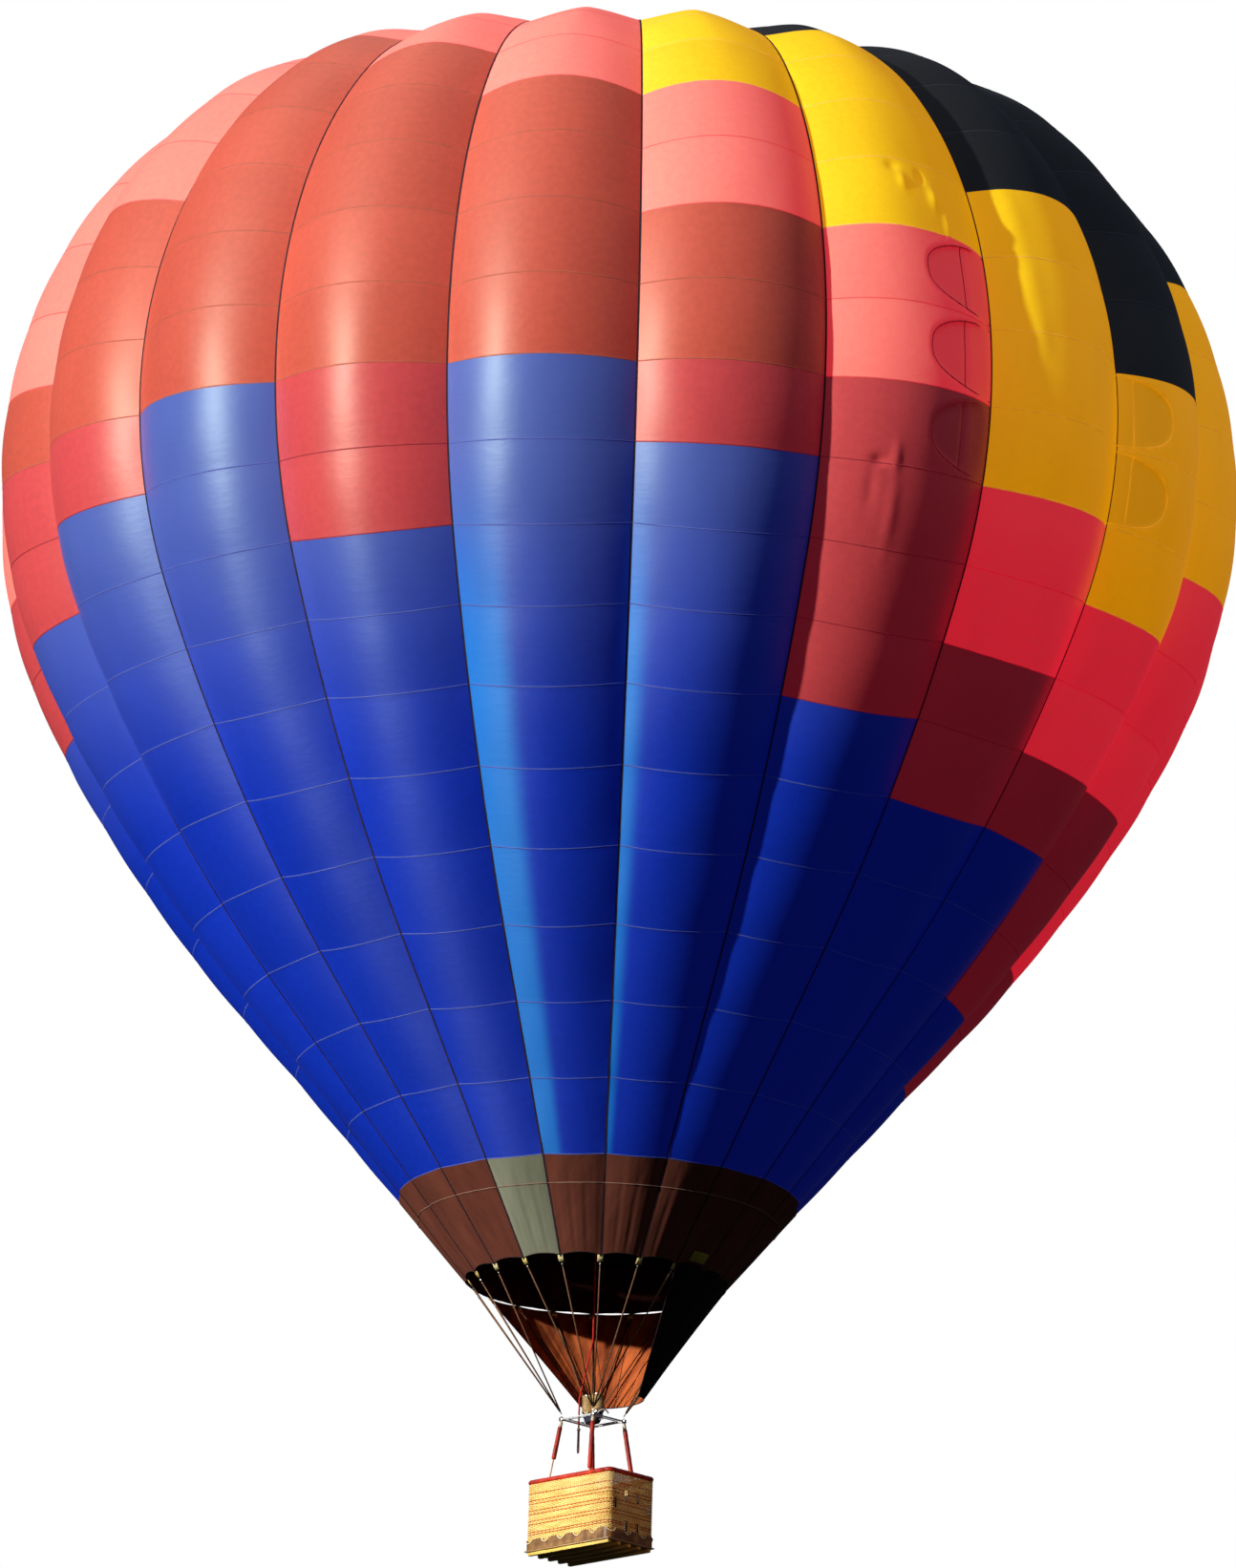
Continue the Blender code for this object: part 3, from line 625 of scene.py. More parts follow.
# Near-black webbing; on the envelope its darkness is partly painted shade for the gores' creases.
LOAD_TAPE = make_webbing("load_tape", (0.020, 0.008, 0.016), (0.045, 0.020, 0.036))


def sharpen(piece):
    """Keep the edges that turn by more than CRISP_ANGLE crisp."""
    work = bmesh.new()
    work.from_mesh(piece.data)
    for edge in work.edges:
        edge.smooth = edge.calc_face_angle(0.0) < CRISP_ANGLE
    work.to_mesh(piece.data)
    work.free()
    return piece


def full_turn(count):
    """Evenly spaced angles round a circle, from 0."""
    return np.linspace(0.0, 2 * math.pi, count, endpoint=False)


def circle(centre, radius, count):
    """A level ring of points."""
    x, y, z = centre
    return [(x + radius * math.cos(a), y + radius * math.sin(a), z) for a in full_turn(count)]


class Shape:
    """Vertices and faces of many small parts, gathered into one mesh."""

    def __init__(self):
        self.vertices = []
        self.faces = []
        self.slots = []
        self.slot = 0

    def face(self, *corners):
        self.faces.append(corners)
        self.slots.append(self.slot)

    def grid(self, points, closed=False, skip=()):
        """Faces between rows of points; columns run anticlockwise about the rows' direction."""
        rows, columns = points.shape[:2]
        base = len(self.vertices)
        self.vertices += points.reshape(-1, 3).tolist()
        for row in range(rows - 1):
            if row in skip:
                continue
            here = base + row * columns
            for column in range(columns if closed else columns - 1):
                beside = (column + 1) % columns
                self.face(here + column, here + beside, here + columns + beside,
                          here + columns + column)
        return base

    def tube(self, route, radius, sides=8, flat=1.0, looped=False, side=None):
        """A rod along a route; flat squeezes it across its side direction."""
        points = np.asarray(route, float)
        count = len(points)
        if looped:
            ahead = np.roll(points, -1, 0) - np.roll(points, 1, 0)
        else:
            ahead = np.gradient(points, axis=0)
        ahead /= np.linalg.norm(ahead, axis=1, keepdims=True)
        if side is None:
            side = (0.0, 0.0, 1.0) if abs(ahead[0][2]) < 0.9 else (1.0, 0.0, 0.0)
        side = np.asarray(side, float)
        turns = full_turn(sides)
        rings = []
        for index in range(count):
            side = side - ahead[index] * side.dot(ahead[index])
            side = side / np.linalg.norm(side)
            over = np.cross(ahead[index], side)
            reach = radius[index] if np.ndim(radius) else radius
            rings.append(points[index] + np.outer(np.cos(turns), side) * reach
                         + np.outer(np.sin(turns), over) * reach * flat)
        if looped:
            rings.append(rings[0])
        base = self.grid(np.array(rings), closed=True)
        if not looped:
            self.face(*range(base + sides - 1, base - 1, -1))
            end = base + (count - 1) * sides
            self.face(*range(end, end + sides))

    def turned(self, profile, centre=(0, 0, 0), steps=24, turn=None):
        """A profile of (radius, height), from the foot up, turned about the upright line."""
        points = np.array([circle((0.0, 0.0, z), radius, steps) for radius, z in profile])
        if turn is not None:
            points = points @ np.array(turn.to_3x3()).T
        self.grid(points + np.asarray(centre, float), closed=True)

    def block(self, centre, size, rounding=0.002, turn=None):
        """A box with rounded edges."""
        work = bmesh.new()
        bmesh.ops.create_cube(work, size=1.0)
        bmesh.ops.scale(work, vec=size, verts=work.verts)
        bmesh.ops.bevel(work, geom=work.edges, offset=rounding, segments=2, affect="EDGES",
                        profile=0.5)
        if turn is not None:
            bmesh.ops.transform(work, matrix=turn, verts=work.verts)
        base = len(self.vertices)
        work.verts.index_update()
        self.vertices += [tuple(v.co + Vector(centre)) for v in work.verts]
        for face in work.faces:
            self.face(*(base + v.index for v in face.verts))
        work.free()

    def mesh(self, name, materials):
        mesh = bpy.data.meshes.new(name)
        mesh.from_pydata(self.vertices, [], self.faces)
        for material in materials:
            mesh.materials.append(material)
        mesh.polygons.foreach_set("material_index", self.slots)
        mesh.polygons.foreach_set("use_smooth", [True] * len(self.faces))
        mesh.update()
        return mesh

    def piece(self, name, materials, crisp=False, **facts):
        """Link the shape as a piece; crisp keeps its sharper edges sharp."""
        piece = add_piece(name, self.mesh(name, materials), **facts)
        return sharpen(piece) if crisp else piece


def pocket_lines(gore):
    """Row, and points (seam, across), of the round edge and the upright fold of each pocket."""
    for home, row, side, reach, _, fold in POCKETS:
        if home == gore:
            heights = row + 0.5 + POCKET_HALF * np.linspace(-1.0, 1.0, 40)
            yield row, [(seam, side * (1 - reach * pocket_bow(row, seam))) for seam in heights]
            heights = row + 0.5 + POCKET_HALF * np.linspace(-0.92, 0.92, 20)
            yield row, [(seam, side * fold) for seam in heights]


def build_seams(gore):
    across = np.linspace(-1.0, 1.0, 33)
    strips = Shape()
    cloths = sorted(SEAMS)
    shift = SEAM_HALF / UPPER_ROW
    for row, line in pocket_lines(gore):
        # Pocket welts on pink and crimson take the dark crimson seam cloth, partly painted shade
        # for the crease round each pocket.
        strips.slot = cloths.index("yellow" if panel_cloth(gore, row) == "yellow" else "crimson")
        route = [skin(gore, seam, np.array([place]), 0.001)[0] for seam, place in line]
        strips.tube(route, WELT_RADIUS, sides=6)
    for seam in range(VENT_ROW, FIREPROOF_ROW + 1):
        strips.slot = cloths.index(panel_cloth(gore, max(VENT_ROW, seam - 1)))
        strips.grid(np.array([skin(gore, seam + shift * side, across, lift) for side, lift in
                              ((1, 0.0005), (0.6, SEAM_LIFT), (-0.6, SEAM_LIFT), (-1, 0.0005))]))
    return strips.piece(numbered("gore_seams", gore), [SEAMS[cloth] for cloth in cloths],
                        slot="tape")


def build_load_tape(gore):
    """The webbing in the crease between one gore and the next."""
    rows = []
    for step in range(TAPE_ROWS):
        seam = VENT_ROW + (TAPE_END - VENT_ROW) * step / (TAPE_ROWS - 1)
        radius = meridian(seam_distance(seam))[0]
        share = TAPE_HALF / (radius * GORE_ANGLE / 2)
        left = skin(gore, seam, np.array([1 - share, 1.0]), TAPE_LIFT, detail=False)
        right = skin(gore + 1, seam, np.array([-1 + share]), TAPE_LIFT, detail=False)
        rows.append(np.concatenate([left, right]))
    name = numbered("load_tape", gore)
    return add_piece(name, grid_mesh(name, np.array(rows), [LOAD_TAPE]), slot="tape")


for gore, (cloth, (cut, area)) in gore_cloths.items():
    seams = build_seams(gore)
    tape = build_load_tape(gore)


# Mouth band. Fireproof panels, matte and heavier than the sail, with their hem cut up in an
# arch between the tapes. Each tape ends below the hem in a loop of bright webbing.
HEM_ARCH = 0.055
HEM_LIFT = 0.030
HEM_CORD = 0.008
HEM_INSET = 0.9985
BAND_WELT = 0.007
WELT_OUTSET = 1.0015
TAB_OUTSET = 1.008
FABRIC = 0.010
MOUTH_PLEATS = 0.006
LOOP_LENGTH = 0.11
LOOP_WIDTH = 0.090
TAB_GORE = 0
TAB_SIZE = (0.012, 0.32, 0.17)
TAB_COLUMN = 15
TAB_LEAN = math.radians(39)
WELT_ROW = 4
MOUTH_COLUMNS = 29
MOUTH_ROWS = 15
MOUTH_GROUPS = (
    # (node, first gore, gores)
    ("mouth_panel_pale", -4, 1),
    ("mouth_band_front_right", -3, 5),
    ("mouth_band_back_right", 2, 5),
    ("mouth_band_back_left", 7, 5),
    ("mouth_band_front_left", 12, 4),
)


def make_fireproof(name, dark, light, painted_shade_outside=None):
    """Matte fireproof twill, a little scorched and creased; its outer face may be painted darker as
    shade.
    """
    finish = Finish(name, roughness=0.85, Specular_IOR_Level=0.25)
    cloth = finish.along_cloth()
    scorch = finish.noise(finish.along_cloth((1.0, 0.3, 1.0)), 2.2, 4.0).between(0.3, 0.75)
    tone = finish.mix(scorch, dark, light)
    # Painted shade: the outer face takes a near-black colour of its own.
    if painted_shade_outside:
        tone = finish.mix(finish.add("NewGeometry", output=6), painted_shade_outside, tone)
    finish.colour(tone)
    twill = finish.add("TexWave", {"bands_direction": "DIAGONAL"}, {"Vector": cloth,
                                                                    "Scale": 120.0})
    creases = finish.noise(finish.along_cloth((2.2, 0.6, 1.0)), 4.0, 4.0, 0.6)
    finish.bump(creases * 0.012 + twill * 0.0001, 1.0, 0.5)
    return finish.material


FIREPROOF = make_fireproof("fireproof", (0.150, 0.040, 0.024), (0.230, 0.066, 0.040))
PALE_FIREPROOF = make_fireproof("pale_fireproof", (0.27, 0.29, 0.20), (0.36, 0.38, 0.28))
# The record's own slots for the two fireproof cloths.
BAND_SLOT = "nomex"
PALE_SLOT = "pale_nomex"
WELT = make_webbing("band_welt", (0.30, 0.16, 0.12), (0.42, 0.24, 0.18))
TAB = make_webbing("band_tab", (0.40, 0.34, 0.03), (0.60, 0.52, 0.06))
HEM_TAPE = make_webbing("hem_tape", (0.012, 0.005, 0.006), (0.035, 0.012, 0.012))
LOOP_WEBBING = make_webbing("loop_webbing", (0.95, 0.70, 0.18), (1.0, 0.92, 0.48))


def mouth_point_row(gore, share, across):
    """Points at a share of the way from the last seam down to the arched hem."""
    start = seam_distance(FIREPROOF_ROW)
    shapes = np.empty((len(across), 3))
    for index, place in enumerate(across):
        end = MERIDIAN - HEM_LIFT - HEM_ARCH * (1 - place * place)
        distance = start + (end - start) * share
        radius, height, heading = meridian(distance)
        rise = fullness(distance) * radius * (1 - place * place)
        fold = math.sin(place * 11.0 + 1.9 * gore) + 0.6 * math.sin(place * 23.0 + 3.1 * gore)
        rise += MOUTH_PLEATS * fold * (1 - place ** 4) * share ** 0.7 * (1 - 0.8 * share ** 6)
        rise -= 0.001 + 0.5 * MOUTH_PLEATS * (1 - place ** 4)
        out = radius + rise * math.sin(heading)
        angle = (gore + place / 2) * GORE_ANGLE
        shapes[index] = (out * math.cos(angle), out * math.sin(angle),
                         height + rise * math.cos(heading))
    return shapes


def build_mouth_group(node, first, count):
    across = np.linspace(-1.0, 1.0, MOUTH_COLUMNS)
    shares = np.linspace(0.0, 1.0, MOUTH_ROWS)
    rows = []
    for share in shares:
        parts = [mouth_point_row(first + i, share, across)[(0 if i == 0 else 1):]
                 for i in range(count)]
        rows.append(np.concatenate(parts))
    points = np.array(rows)
    pale = node == "mouth_panel_pale"
    material, slot = (PALE_FIREPROOF, PALE_SLOT) if pale else (FIREPROOF, BAND_SLOT)
    name = f"{node}_cloth"
    mesh = grid_mesh(name, points, [material], maps={"cloth": flat_cut(points)})
    piece = add_piece(name, mesh, slot=slot, replaces=(node,))
    cut, area = cut_size(points)
    hem = Shape()
    hem.tube(points[-1] * np.array([HEM_INSET, HEM_INSET, 1.0]), HEM_CORD, sides=6)
    hem.slot = 1
    welt = points[WELT_ROW] * np.array([WELT_OUTSET, WELT_OUTSET, 1.0])
    hem.tube(welt, BAND_WELT, sides=6, flat=0.5)
    if first <= TAB_GORE < first + count:
        hem.slot = 2
        middle = points[-2, (TAB_GORE - first) * (len(across) - 1) + TAB_COLUMN]
        angle = math.atan2(middle[1], middle[0])
        hem.block(middle * np.array([TAB_OUTSET, TAB_OUTSET, 1.0]), TAB_SIZE, 0.004,
                  Matrix.Rotation(angle, 4, "Z") @ Matrix.Rotation(TAB_LEAN, 4, "Y"))
    trim = hem.piece(f"{node}_hem", [HEM_TAPE, WELT, TAB], slot="tape")


for group in MOUTH_GROUPS:
    build_mouth_group(*group)


def lip_point(angle, below):
    """A point past the mouth's lip at a tape, in the middle of the cloth's thickness."""
    radius, height, heading = meridian(MERIDIAN)
    radius += below * math.cos(heading) - FABRIC / 2 * math.sin(heading)
    height += -below * math.sin(heading) - FABRIC / 2 * math.cos(heading)
    return np.array([radius * math.cos(angle), radius * math.sin(angle), height])


# Crown. The load tapes meet over the vent on a welded ring of aluminium tube; the parachute panel
# is pressed up against them from inside by the hot air and pulled down by its red line.
CROWN_RING_RADIUS = 0.28
CROWN_RING_WIDTH = 0.05
CROWN_RING_TUBE = 0.010
CROWN_RING_DROP = 0.004
CROWN_TAPE_HALF = 0.020
CROWN_TAPE_THICKNESS = 0.005
CROWN_TAPE_STEPS = 12
VENT_PANEL_RADIUS = 3.10
VENT_PANEL_EYE = 0.02
VENT_PANEL_DROP = 0.0217
VENT_PANEL_SAG = 0.008
VENT_PANEL_GRID = (160, 24)
VENT_HEM = 0.007
VENT_SPOKE = 0.006
VENT_SEGMENTS = 20
VENT_LINE_X = -0.2875
VENT_LINE_BEND = (0.265, -13.05)
VENT_LINE_LEVELS = (-14.00, -14.85)
VENT_LINE_RADIUS = 0.0130
STRAP_TOP_Z = -14.47
STRAP_FOOT_Z = -14.846
STRAP_RADIUS = 0.020
STRAP_KNOB = 0.028


def make_metal(name, dark, light, roughness=0.32, grain=60.0):
    """Brushed metal with fine scratches, smudges and small dents."""
    finish = Finish(name, metallic=1.0)
    place = finish.where()
    smudge = finish.noise(place, 9.0).between(0.3, 0.7)
    finish.colour(finish.mix(smudge, dark, light))
    scratches = finish.noise(finish.where((1.0, 1.0, 14.0)), grain, 2.0)
    finish.roughness(roughness + 0.18 * smudge)
    finish.bump(scratches * 0.0003 + finish.noise(place, 14.0) * 0.0008, 1.0, 0.5)
    return finish.material


ALUMINIUM = make_metal("aluminium", (0.60, 0.61, 0.63), (0.80, 0.81, 0.83))
VENT_CLOTH = make_sail("vent", (0.012, 0.015, 0.022), (0.0, 0.001, 0.003))


def build_crown():
    tapes = Shape()
    reach = seam_distance(VENT_ROW) - 0.001
    for index in range(GORES):
        angle = (index + 0.5) * GORE_ANGLE
        outwards = np.array([math.cos(angle), math.sin(angle), 0.0])
        sideways = np.array([-math.sin(angle), math.cos(angle), 0.0])
        route = []
        for step in range(CROWN_TAPE_STEPS + 1):
            share = step / CROWN_TAPE_STEPS
            distance = CROWN_RING_RADIUS + (reach - CROWN_RING_RADIUS) * share
            radius, height, _ = meridian(distance)
            route.append(outwards * radius + np.array([0, 0, height - 0.5 * CROWN_TAPE_THICKNESS]))
        tapes.tube(route, CROWN_TAPE_HALF, sides=8, flat=0.13, side=sideways)
    tapes.slot = 1
    level = meridian(CROWN_RING_RADIUS)[1] - CROWN_RING_DROP
    ring = circle((0.0, 0.0, level), CROWN_RING_RADIUS + CROWN_RING_WIDTH / 2, 64)
    tapes.tube(ring, CROWN_RING_TUBE, sides=10, looped=True)
    tapes.piece("crown_tapes", [LOAD_TAPE, ALUMINIUM], slot="tape", replaces=("crown_ring",))


def build_vent_panel():
    columns, rows = VENT_PANEL_GRID
    points = np.empty((rows + 1, columns + 1, 3))
    for row in range(rows + 1):
        distance = VENT_PANEL_EYE + (VENT_PANEL_RADIUS - VENT_PANEL_EYE) * row / rows
        radius, height, _ = meridian(distance)
        for column in range(columns + 1):
            angle = 2 * math.pi * column / columns
            between = abs(math.sin(angle * VENT_SEGMENTS / 2))
            sag = VENT_PANEL_SAG * between * (row / rows)
            points[row, column] = (radius * math.cos(angle), radius * math.sin(angle),
                                   height - VENT_PANEL_DROP - sag)
    mesh = grid_mesh("vent_cloth", points, [VENT_CLOTH], maps={"cloth": points[:, :, :2]})
    cloth = add_piece("vent_cloth", mesh, body="vent_valve", slot="vent_cloth",
                      replaces=("vent_panel",))
    hem = Shape()
    under = points + np.array([0, 0, -0.004])
    hem.tube(under[-1, :-1], VENT_HEM, sides=6, looped=True)
    for spoke in range(VENT_SEGMENTS):
        hem.tube(under[1:, spoke * columns // VENT_SEGMENTS], VENT_SPOKE, sides=5, flat=0.6)
    trim = hem.piece("vent_hem", [HEM_TAPE], body="vent_valve", slot="vent_cloth")


def make_cordage(name, dark, light):
    """Braided line: crossing strands, lighter where it is worn."""
    finish = Finish(name, roughness=0.7)
    place = finish.where()
    wear = finish.noise(place, 20.0).between(0.3, 0.7)
    finish.colour(finish.mix(wear, dark, light))
    braid = finish.add("TexWave", {"bands_direction": "DIAGONAL"}, {"Vector": place,
                                                                    "Scale": 90.0})
    finish.bump(braid, 0.0015, 0.7)
    return finish.material


RED_LINE = make_cordage("red_line", (0.70, 0.012, 0.008), (0.95, 0.030, 0.016))
PINK_STRAP = make_webbing("pink_strap", (0.85, 0.42, 0.42), (0.98, 0.66, 0.64))


def build_vent_line():
    """The red line, which bends once under the mouth, and the pale strap round its lower end."""
    top = meridian(0.0)[1] - VENT_PANEL_DROP - FABRIC
    stops = [(0.0, 0.0, top), (VENT_LINE_X, *VENT_LINE_BEND)]
    stops += [(VENT_LINE_X, 0.0, level) for level in VENT_LINE_LEVELS]
    line = Shape()
    line.tube(stops, VENT_LINE_RADIUS, sides=8)
    line.slot = 1
    neck = STRAP_RADIUS - 0.002
    line.turned([(0.0, STRAP_FOOT_Z), (neck, STRAP_FOOT_Z + 0.006),
                 (STRAP_RADIUS, STRAP_FOOT_Z + 0.046), (neck, STRAP_TOP_Z - 0.04),
                 (STRAP_KNOB, STRAP_TOP_Z - 0.02), (STRAP_KNOB, STRAP_TOP_Z),
                 (0.0, STRAP_TOP_Z + 0.01)], (VENT_LINE_X, 0.0, 0.0), 20)
    line.piece("vent_rope", [RED_LINE, PINK_STRAP], body="vent_valve", slot="vent_rope",
               replaces=("vent_line",))


build_crown()
build_vent_panel()
build_vent_line()


# Scoop. A skirt of fireproof cloth under eleven gores, tied at their twelve tapes and open on one
# side, that turns the wind into the mouth; it hangs in soft upright folds down to the burner.
SCOOP_TOP_RADIUS = 1.98
SCOOP_BOTTOM_Z = -14.03
SCOOP_CENTRE_X = 0.04
SCOOP_HALF_WIDTH = 0.60
SCOOP_FRONT_Y = 0.32
SCOOP_DEPTH = 0.41
SCOOP_PANELS = 11
SCOOP_DROP = -0.022
SCOOP_FOLD = 0.026
SCOOP_ARCH = -0.012
SCOOP_GRID = (176, 28)
SCOOP_TOP_HEM = 0.006
SCOOP_HEM = 0.008
SCOOP_SEAM = 0.005
TIE_RADIUS = 0.004
TIE_SEAT = 0.0037
TIE_OVERLAP = 0.04


def scoop_point(share, drop):
    """share runs round the scoop from +X by the back to -X, drop from its top hem down."""
    top_angle = (share * SCOOP_PANELS - 0.5) * GORE_ANGLE
    low_angle = share * math.pi
    top_z = meridian(MERIDIAN)[1] - SCOOP_DROP
    top = np.array([SCOOP_TOP_RADIUS * math.cos(top_angle),
                    SCOOP_TOP_RADIUS * math.sin(top_angle), top_z])
    low = np.array([SCOOP_CENTRE_X + SCOOP_HALF_WIDTH * math.cos(low_angle),
                    SCOOP_FRONT_Y + SCOOP_DEPTH * math.sin(low_angle), SCOOP_BOTTOM_Z])
    point = top + (low - top) * drop
    away = np.array([math.cos(top_angle), math.sin(top_angle), 0.3])
    panel = share * SCOOP_PANELS
    arch = SCOOP_ARCH * math.sin(math.pi * (panel % 1.0)) * (1 - drop) ** 2
    fold = math.sin(panel * 2 * math.pi) + 0.5 * math.sin(panel * 4.6 * math.pi + 1.0)
    fold += 0.35 * math.sin(panel * 9.2 * math.pi + 2.0)
    loose = math.sin(math.pi * min(1.0, drop * 1.1)) ** 0.8
    point = point - away * (0.004 + SCOOP_FOLD * (0.8 - 0.5 * fold) * loose)
    point[2] += arch
    return point


def build_scoop():
    columns, rows = SCOOP_GRID
    points = np.array([[scoop_point(column / columns, row / rows) for column in range(columns + 1)]
                       for row in range(rows + 1)])
    mesh = grid_mesh("scoop_cloth", points, [SCOOP_CLOTH], maps={"cloth": flat_cut(points)})
    cloth = add_piece("scoop_cloth", mesh, slot=BAND_SLOT, replaces=("scoop",))
    trim = Shape()
    trim.tube(points[0], SCOOP_TOP_HEM, sides=6)
    for edge in (points[-1], points[:, 0], points[:, -1]):
        trim.tube(edge, SCOOP_HEM, sides=6)
    per_panel = columns // SCOOP_PANELS
    for panel in range(1, SCOOP_PANELS):
        trim.tube(points[:, panel * per_panel], SCOOP_SEAM, sides=5)
    trim.slot = 1
    radius, height, heading = meridian(MERIDIAN - TIE_OVERLAP)
    radius += TIE_SEAT * math.sin(heading)
    for tie in range(SCOOP_PANELS + 1):
        angle = (tie - 0.5) * GORE_ANGLE
        start = np.array([radius * math.cos(angle), radius * math.sin(angle),
                          height + TIE_SEAT * math.cos(heading)])
        trim.tube([start, points[0, min(columns, tie * per_panel)]], TIE_RADIUS, sides=6)
    edges = trim.piece("scoop_edges", [HEM_TAPE, LOOP_WEBBING], slot=BAND_SLOT)
    cut, area = cut_size(points)


# The scoop's outer face is painted near-black as shade.
SCOOP_CLOTH = make_fireproof("scoop_cloth", (0.34, 0.072, 0.024), (1.00, 0.240, 0.060),
                             painted_shade_outside=(0.020, 0.008, 0.006))
build_scoop()


# Flying wires. Twenty stainless ropes, in brown fireproof sleeves, run from the tapes' loops in
# four bunches to shackles on the burner frame's corners; each has a thimble and pressed ferrules.
FRAME_Z = -14.38
FRAME_LENGTH = 0.66
FRAME_WIDTH = 0.68
FRAME_TUBE = 0.022
CORNER_BLOCK = 0.056
SHACKLE_HEIGHT = 0.070
CORNERS = (
    # (name, x side, y side)
    ("back_right", 1, 1),
    ("back_left", -1, 1),
    ("front_left", -1, -1),
    ("front_right", 1, -1),
)

WIRES_PER_CORNER = 5
WIRE_RADIUS = 0.0115
BARE_ROPE = 0.0042
SWAGE_RADIUS = 0.0062
FERRULE_RADIUS = 0.0130
THIMBLE_ROD = 0.0035
SHACKLE_ROD = 0.0045
SHACKLE_PIN = 0.005
SHACKLE_HALF = 0.014
WIRE_SLEEVE = make_cordage("wire_sleeve", (0.17, 0.075, 0.035), (0.30, 0.15, 0.075))
STEEL = make_metal("stainless", (0.55, 0.54, 0.52), (0.78, 0.77, 0.74), 0.25)


def build_wires():
    for index, (name, x_side, y_side) in enumerate(CORNERS):
        foot = np.array([x_side * FRAME_LENGTH / 2, y_side * FRAME_WIDTH / 2,
                         FRAME_Z + CORNER_BLOCK / 2])
        top = foot + np.array([0, 0, 0.8 * SHACKLE_HEIGHT])
        wires, loops = Shape(), Shape()
        wires.slot = 1
        bow = [foot + np.array([0.013 * math.cos(a), 0, 0.034 + 0.030 * math.sin(a)])
               for a in np.linspace(-0.35 * math.pi, 1.35 * math.pi, 15)]
        wires.tube(bow, SHACKLE_ROD, sides=8)
        wires.tube([foot + np.array([side * SHACKLE_HALF, 0, 0.008]) for side in (-1, 1)],
                   SHACKLE_PIN, sides=8)
        for wire in range(WIRES_PER_CORNER):
            angle = (WIRES_PER_CORNER * index + wire + 0.5) * GORE_ANGLE
            tip = lip_point(angle, 0.0)
            along = (tip - top) / np.linalg.norm(tip - top)
            wires.slot = 0
            wires.tube([top + along * 0.05, tip - along * (LOOP_LENGTH + 0.02)], WIRE_RADIUS,
                       sides=6)
            wires.slot = 1
            wires.tube([top, top + along * 0.06], BARE_ROPE, sides=6)
            wires.tube([top + along * 0.02, top + along * 0.06], SWAGE_RADIUS, sides=8)
            wires.tube([tip - along * (LOOP_LENGTH + 0.045), tip - along * (LOOP_LENGTH + 0.005)],
                       FERRULE_RADIUS, sides=8)
            across = np.cross(along, (0.0, 0.0, 1.0))
            across /= np.linalg.norm(across)
            eye = [tip - along * (LOOP_LENGTH - 0.012) + across * 0.010 * math.cos(a)
                   + along * 0.018 * math.sin(a) for a in full_turn(14)]
            wires.tube(eye, THIMBLE_ROD, sides=6, looped=True)
            loops.tube([tip - along * (LOOP_LENGTH - 0.02), tip + along * 0.035], LOOP_WIDTH / 2,
                       sides=8, flat=0.12, side=across)
        wires.piece(f"wire_ropes_{name}", [WIRE_SLEEVE, STEEL], slot="wire",
                    replaces=(f"flying_wires_{name}",))
        loops.piece(f"tape_loops_{name}", [LOOP_WEBBING], slot="tape")


build_wires()


# Burner frame. A nearly square frame of painted steel tube, with a block at each corner, holds the
# wires above and the uprights below; the gimbal ring inside it lets the burner tilt both ways.
GIMBAL_LENGTH = 0.50
GIMBAL_WIDTH = 0.54
GIMBAL_BAR = 0.015
PIVOT_RADIUS = 0.008
RING_PIN_END = 0.3245
BLOCK_PIN_END = 0.2395
BOLT_HEAD = ((0.0, -0.003), (0.008, -0.003), (0.008, 0.0015), (0.0, 0.0025))


def make_paint(name, dark, light):
    """Satin powder coat: a fine orange-peel surface, a little rubbed and sooty."""
    finish = Finish(name, Specular_IOR_Level=0.6)
    place = finish.where()
    soot = finish.noise(place, 7.0, 4.0).between(0.35, 0.75)
    finish.colour(finish.mix(soot, light, dark))
    finish.roughness(soot * 0.2 + 0.35)
    peel = finish.noise(place, 300.0, 2.0)
    dents = finish.noise(place, 12.0)
    finish.bump(peel * 0.0004 + dents * 0.0006, 1.0, 0.5)
    return finish.material


FRAME_PAINT = make_paint("frame_paint", (0.66, 0.70, 0.78), (0.90, 0.92, 0.96))


def add_bars(shape, length, width, size):
    for side in (-1, 1):
        shape.block((0, side * width / 2, FRAME_Z), (length + size, size, size), 0.003)
        shape.block((side * length / 2, 0, FRAME_Z), (size, width - size, size), 0.003)


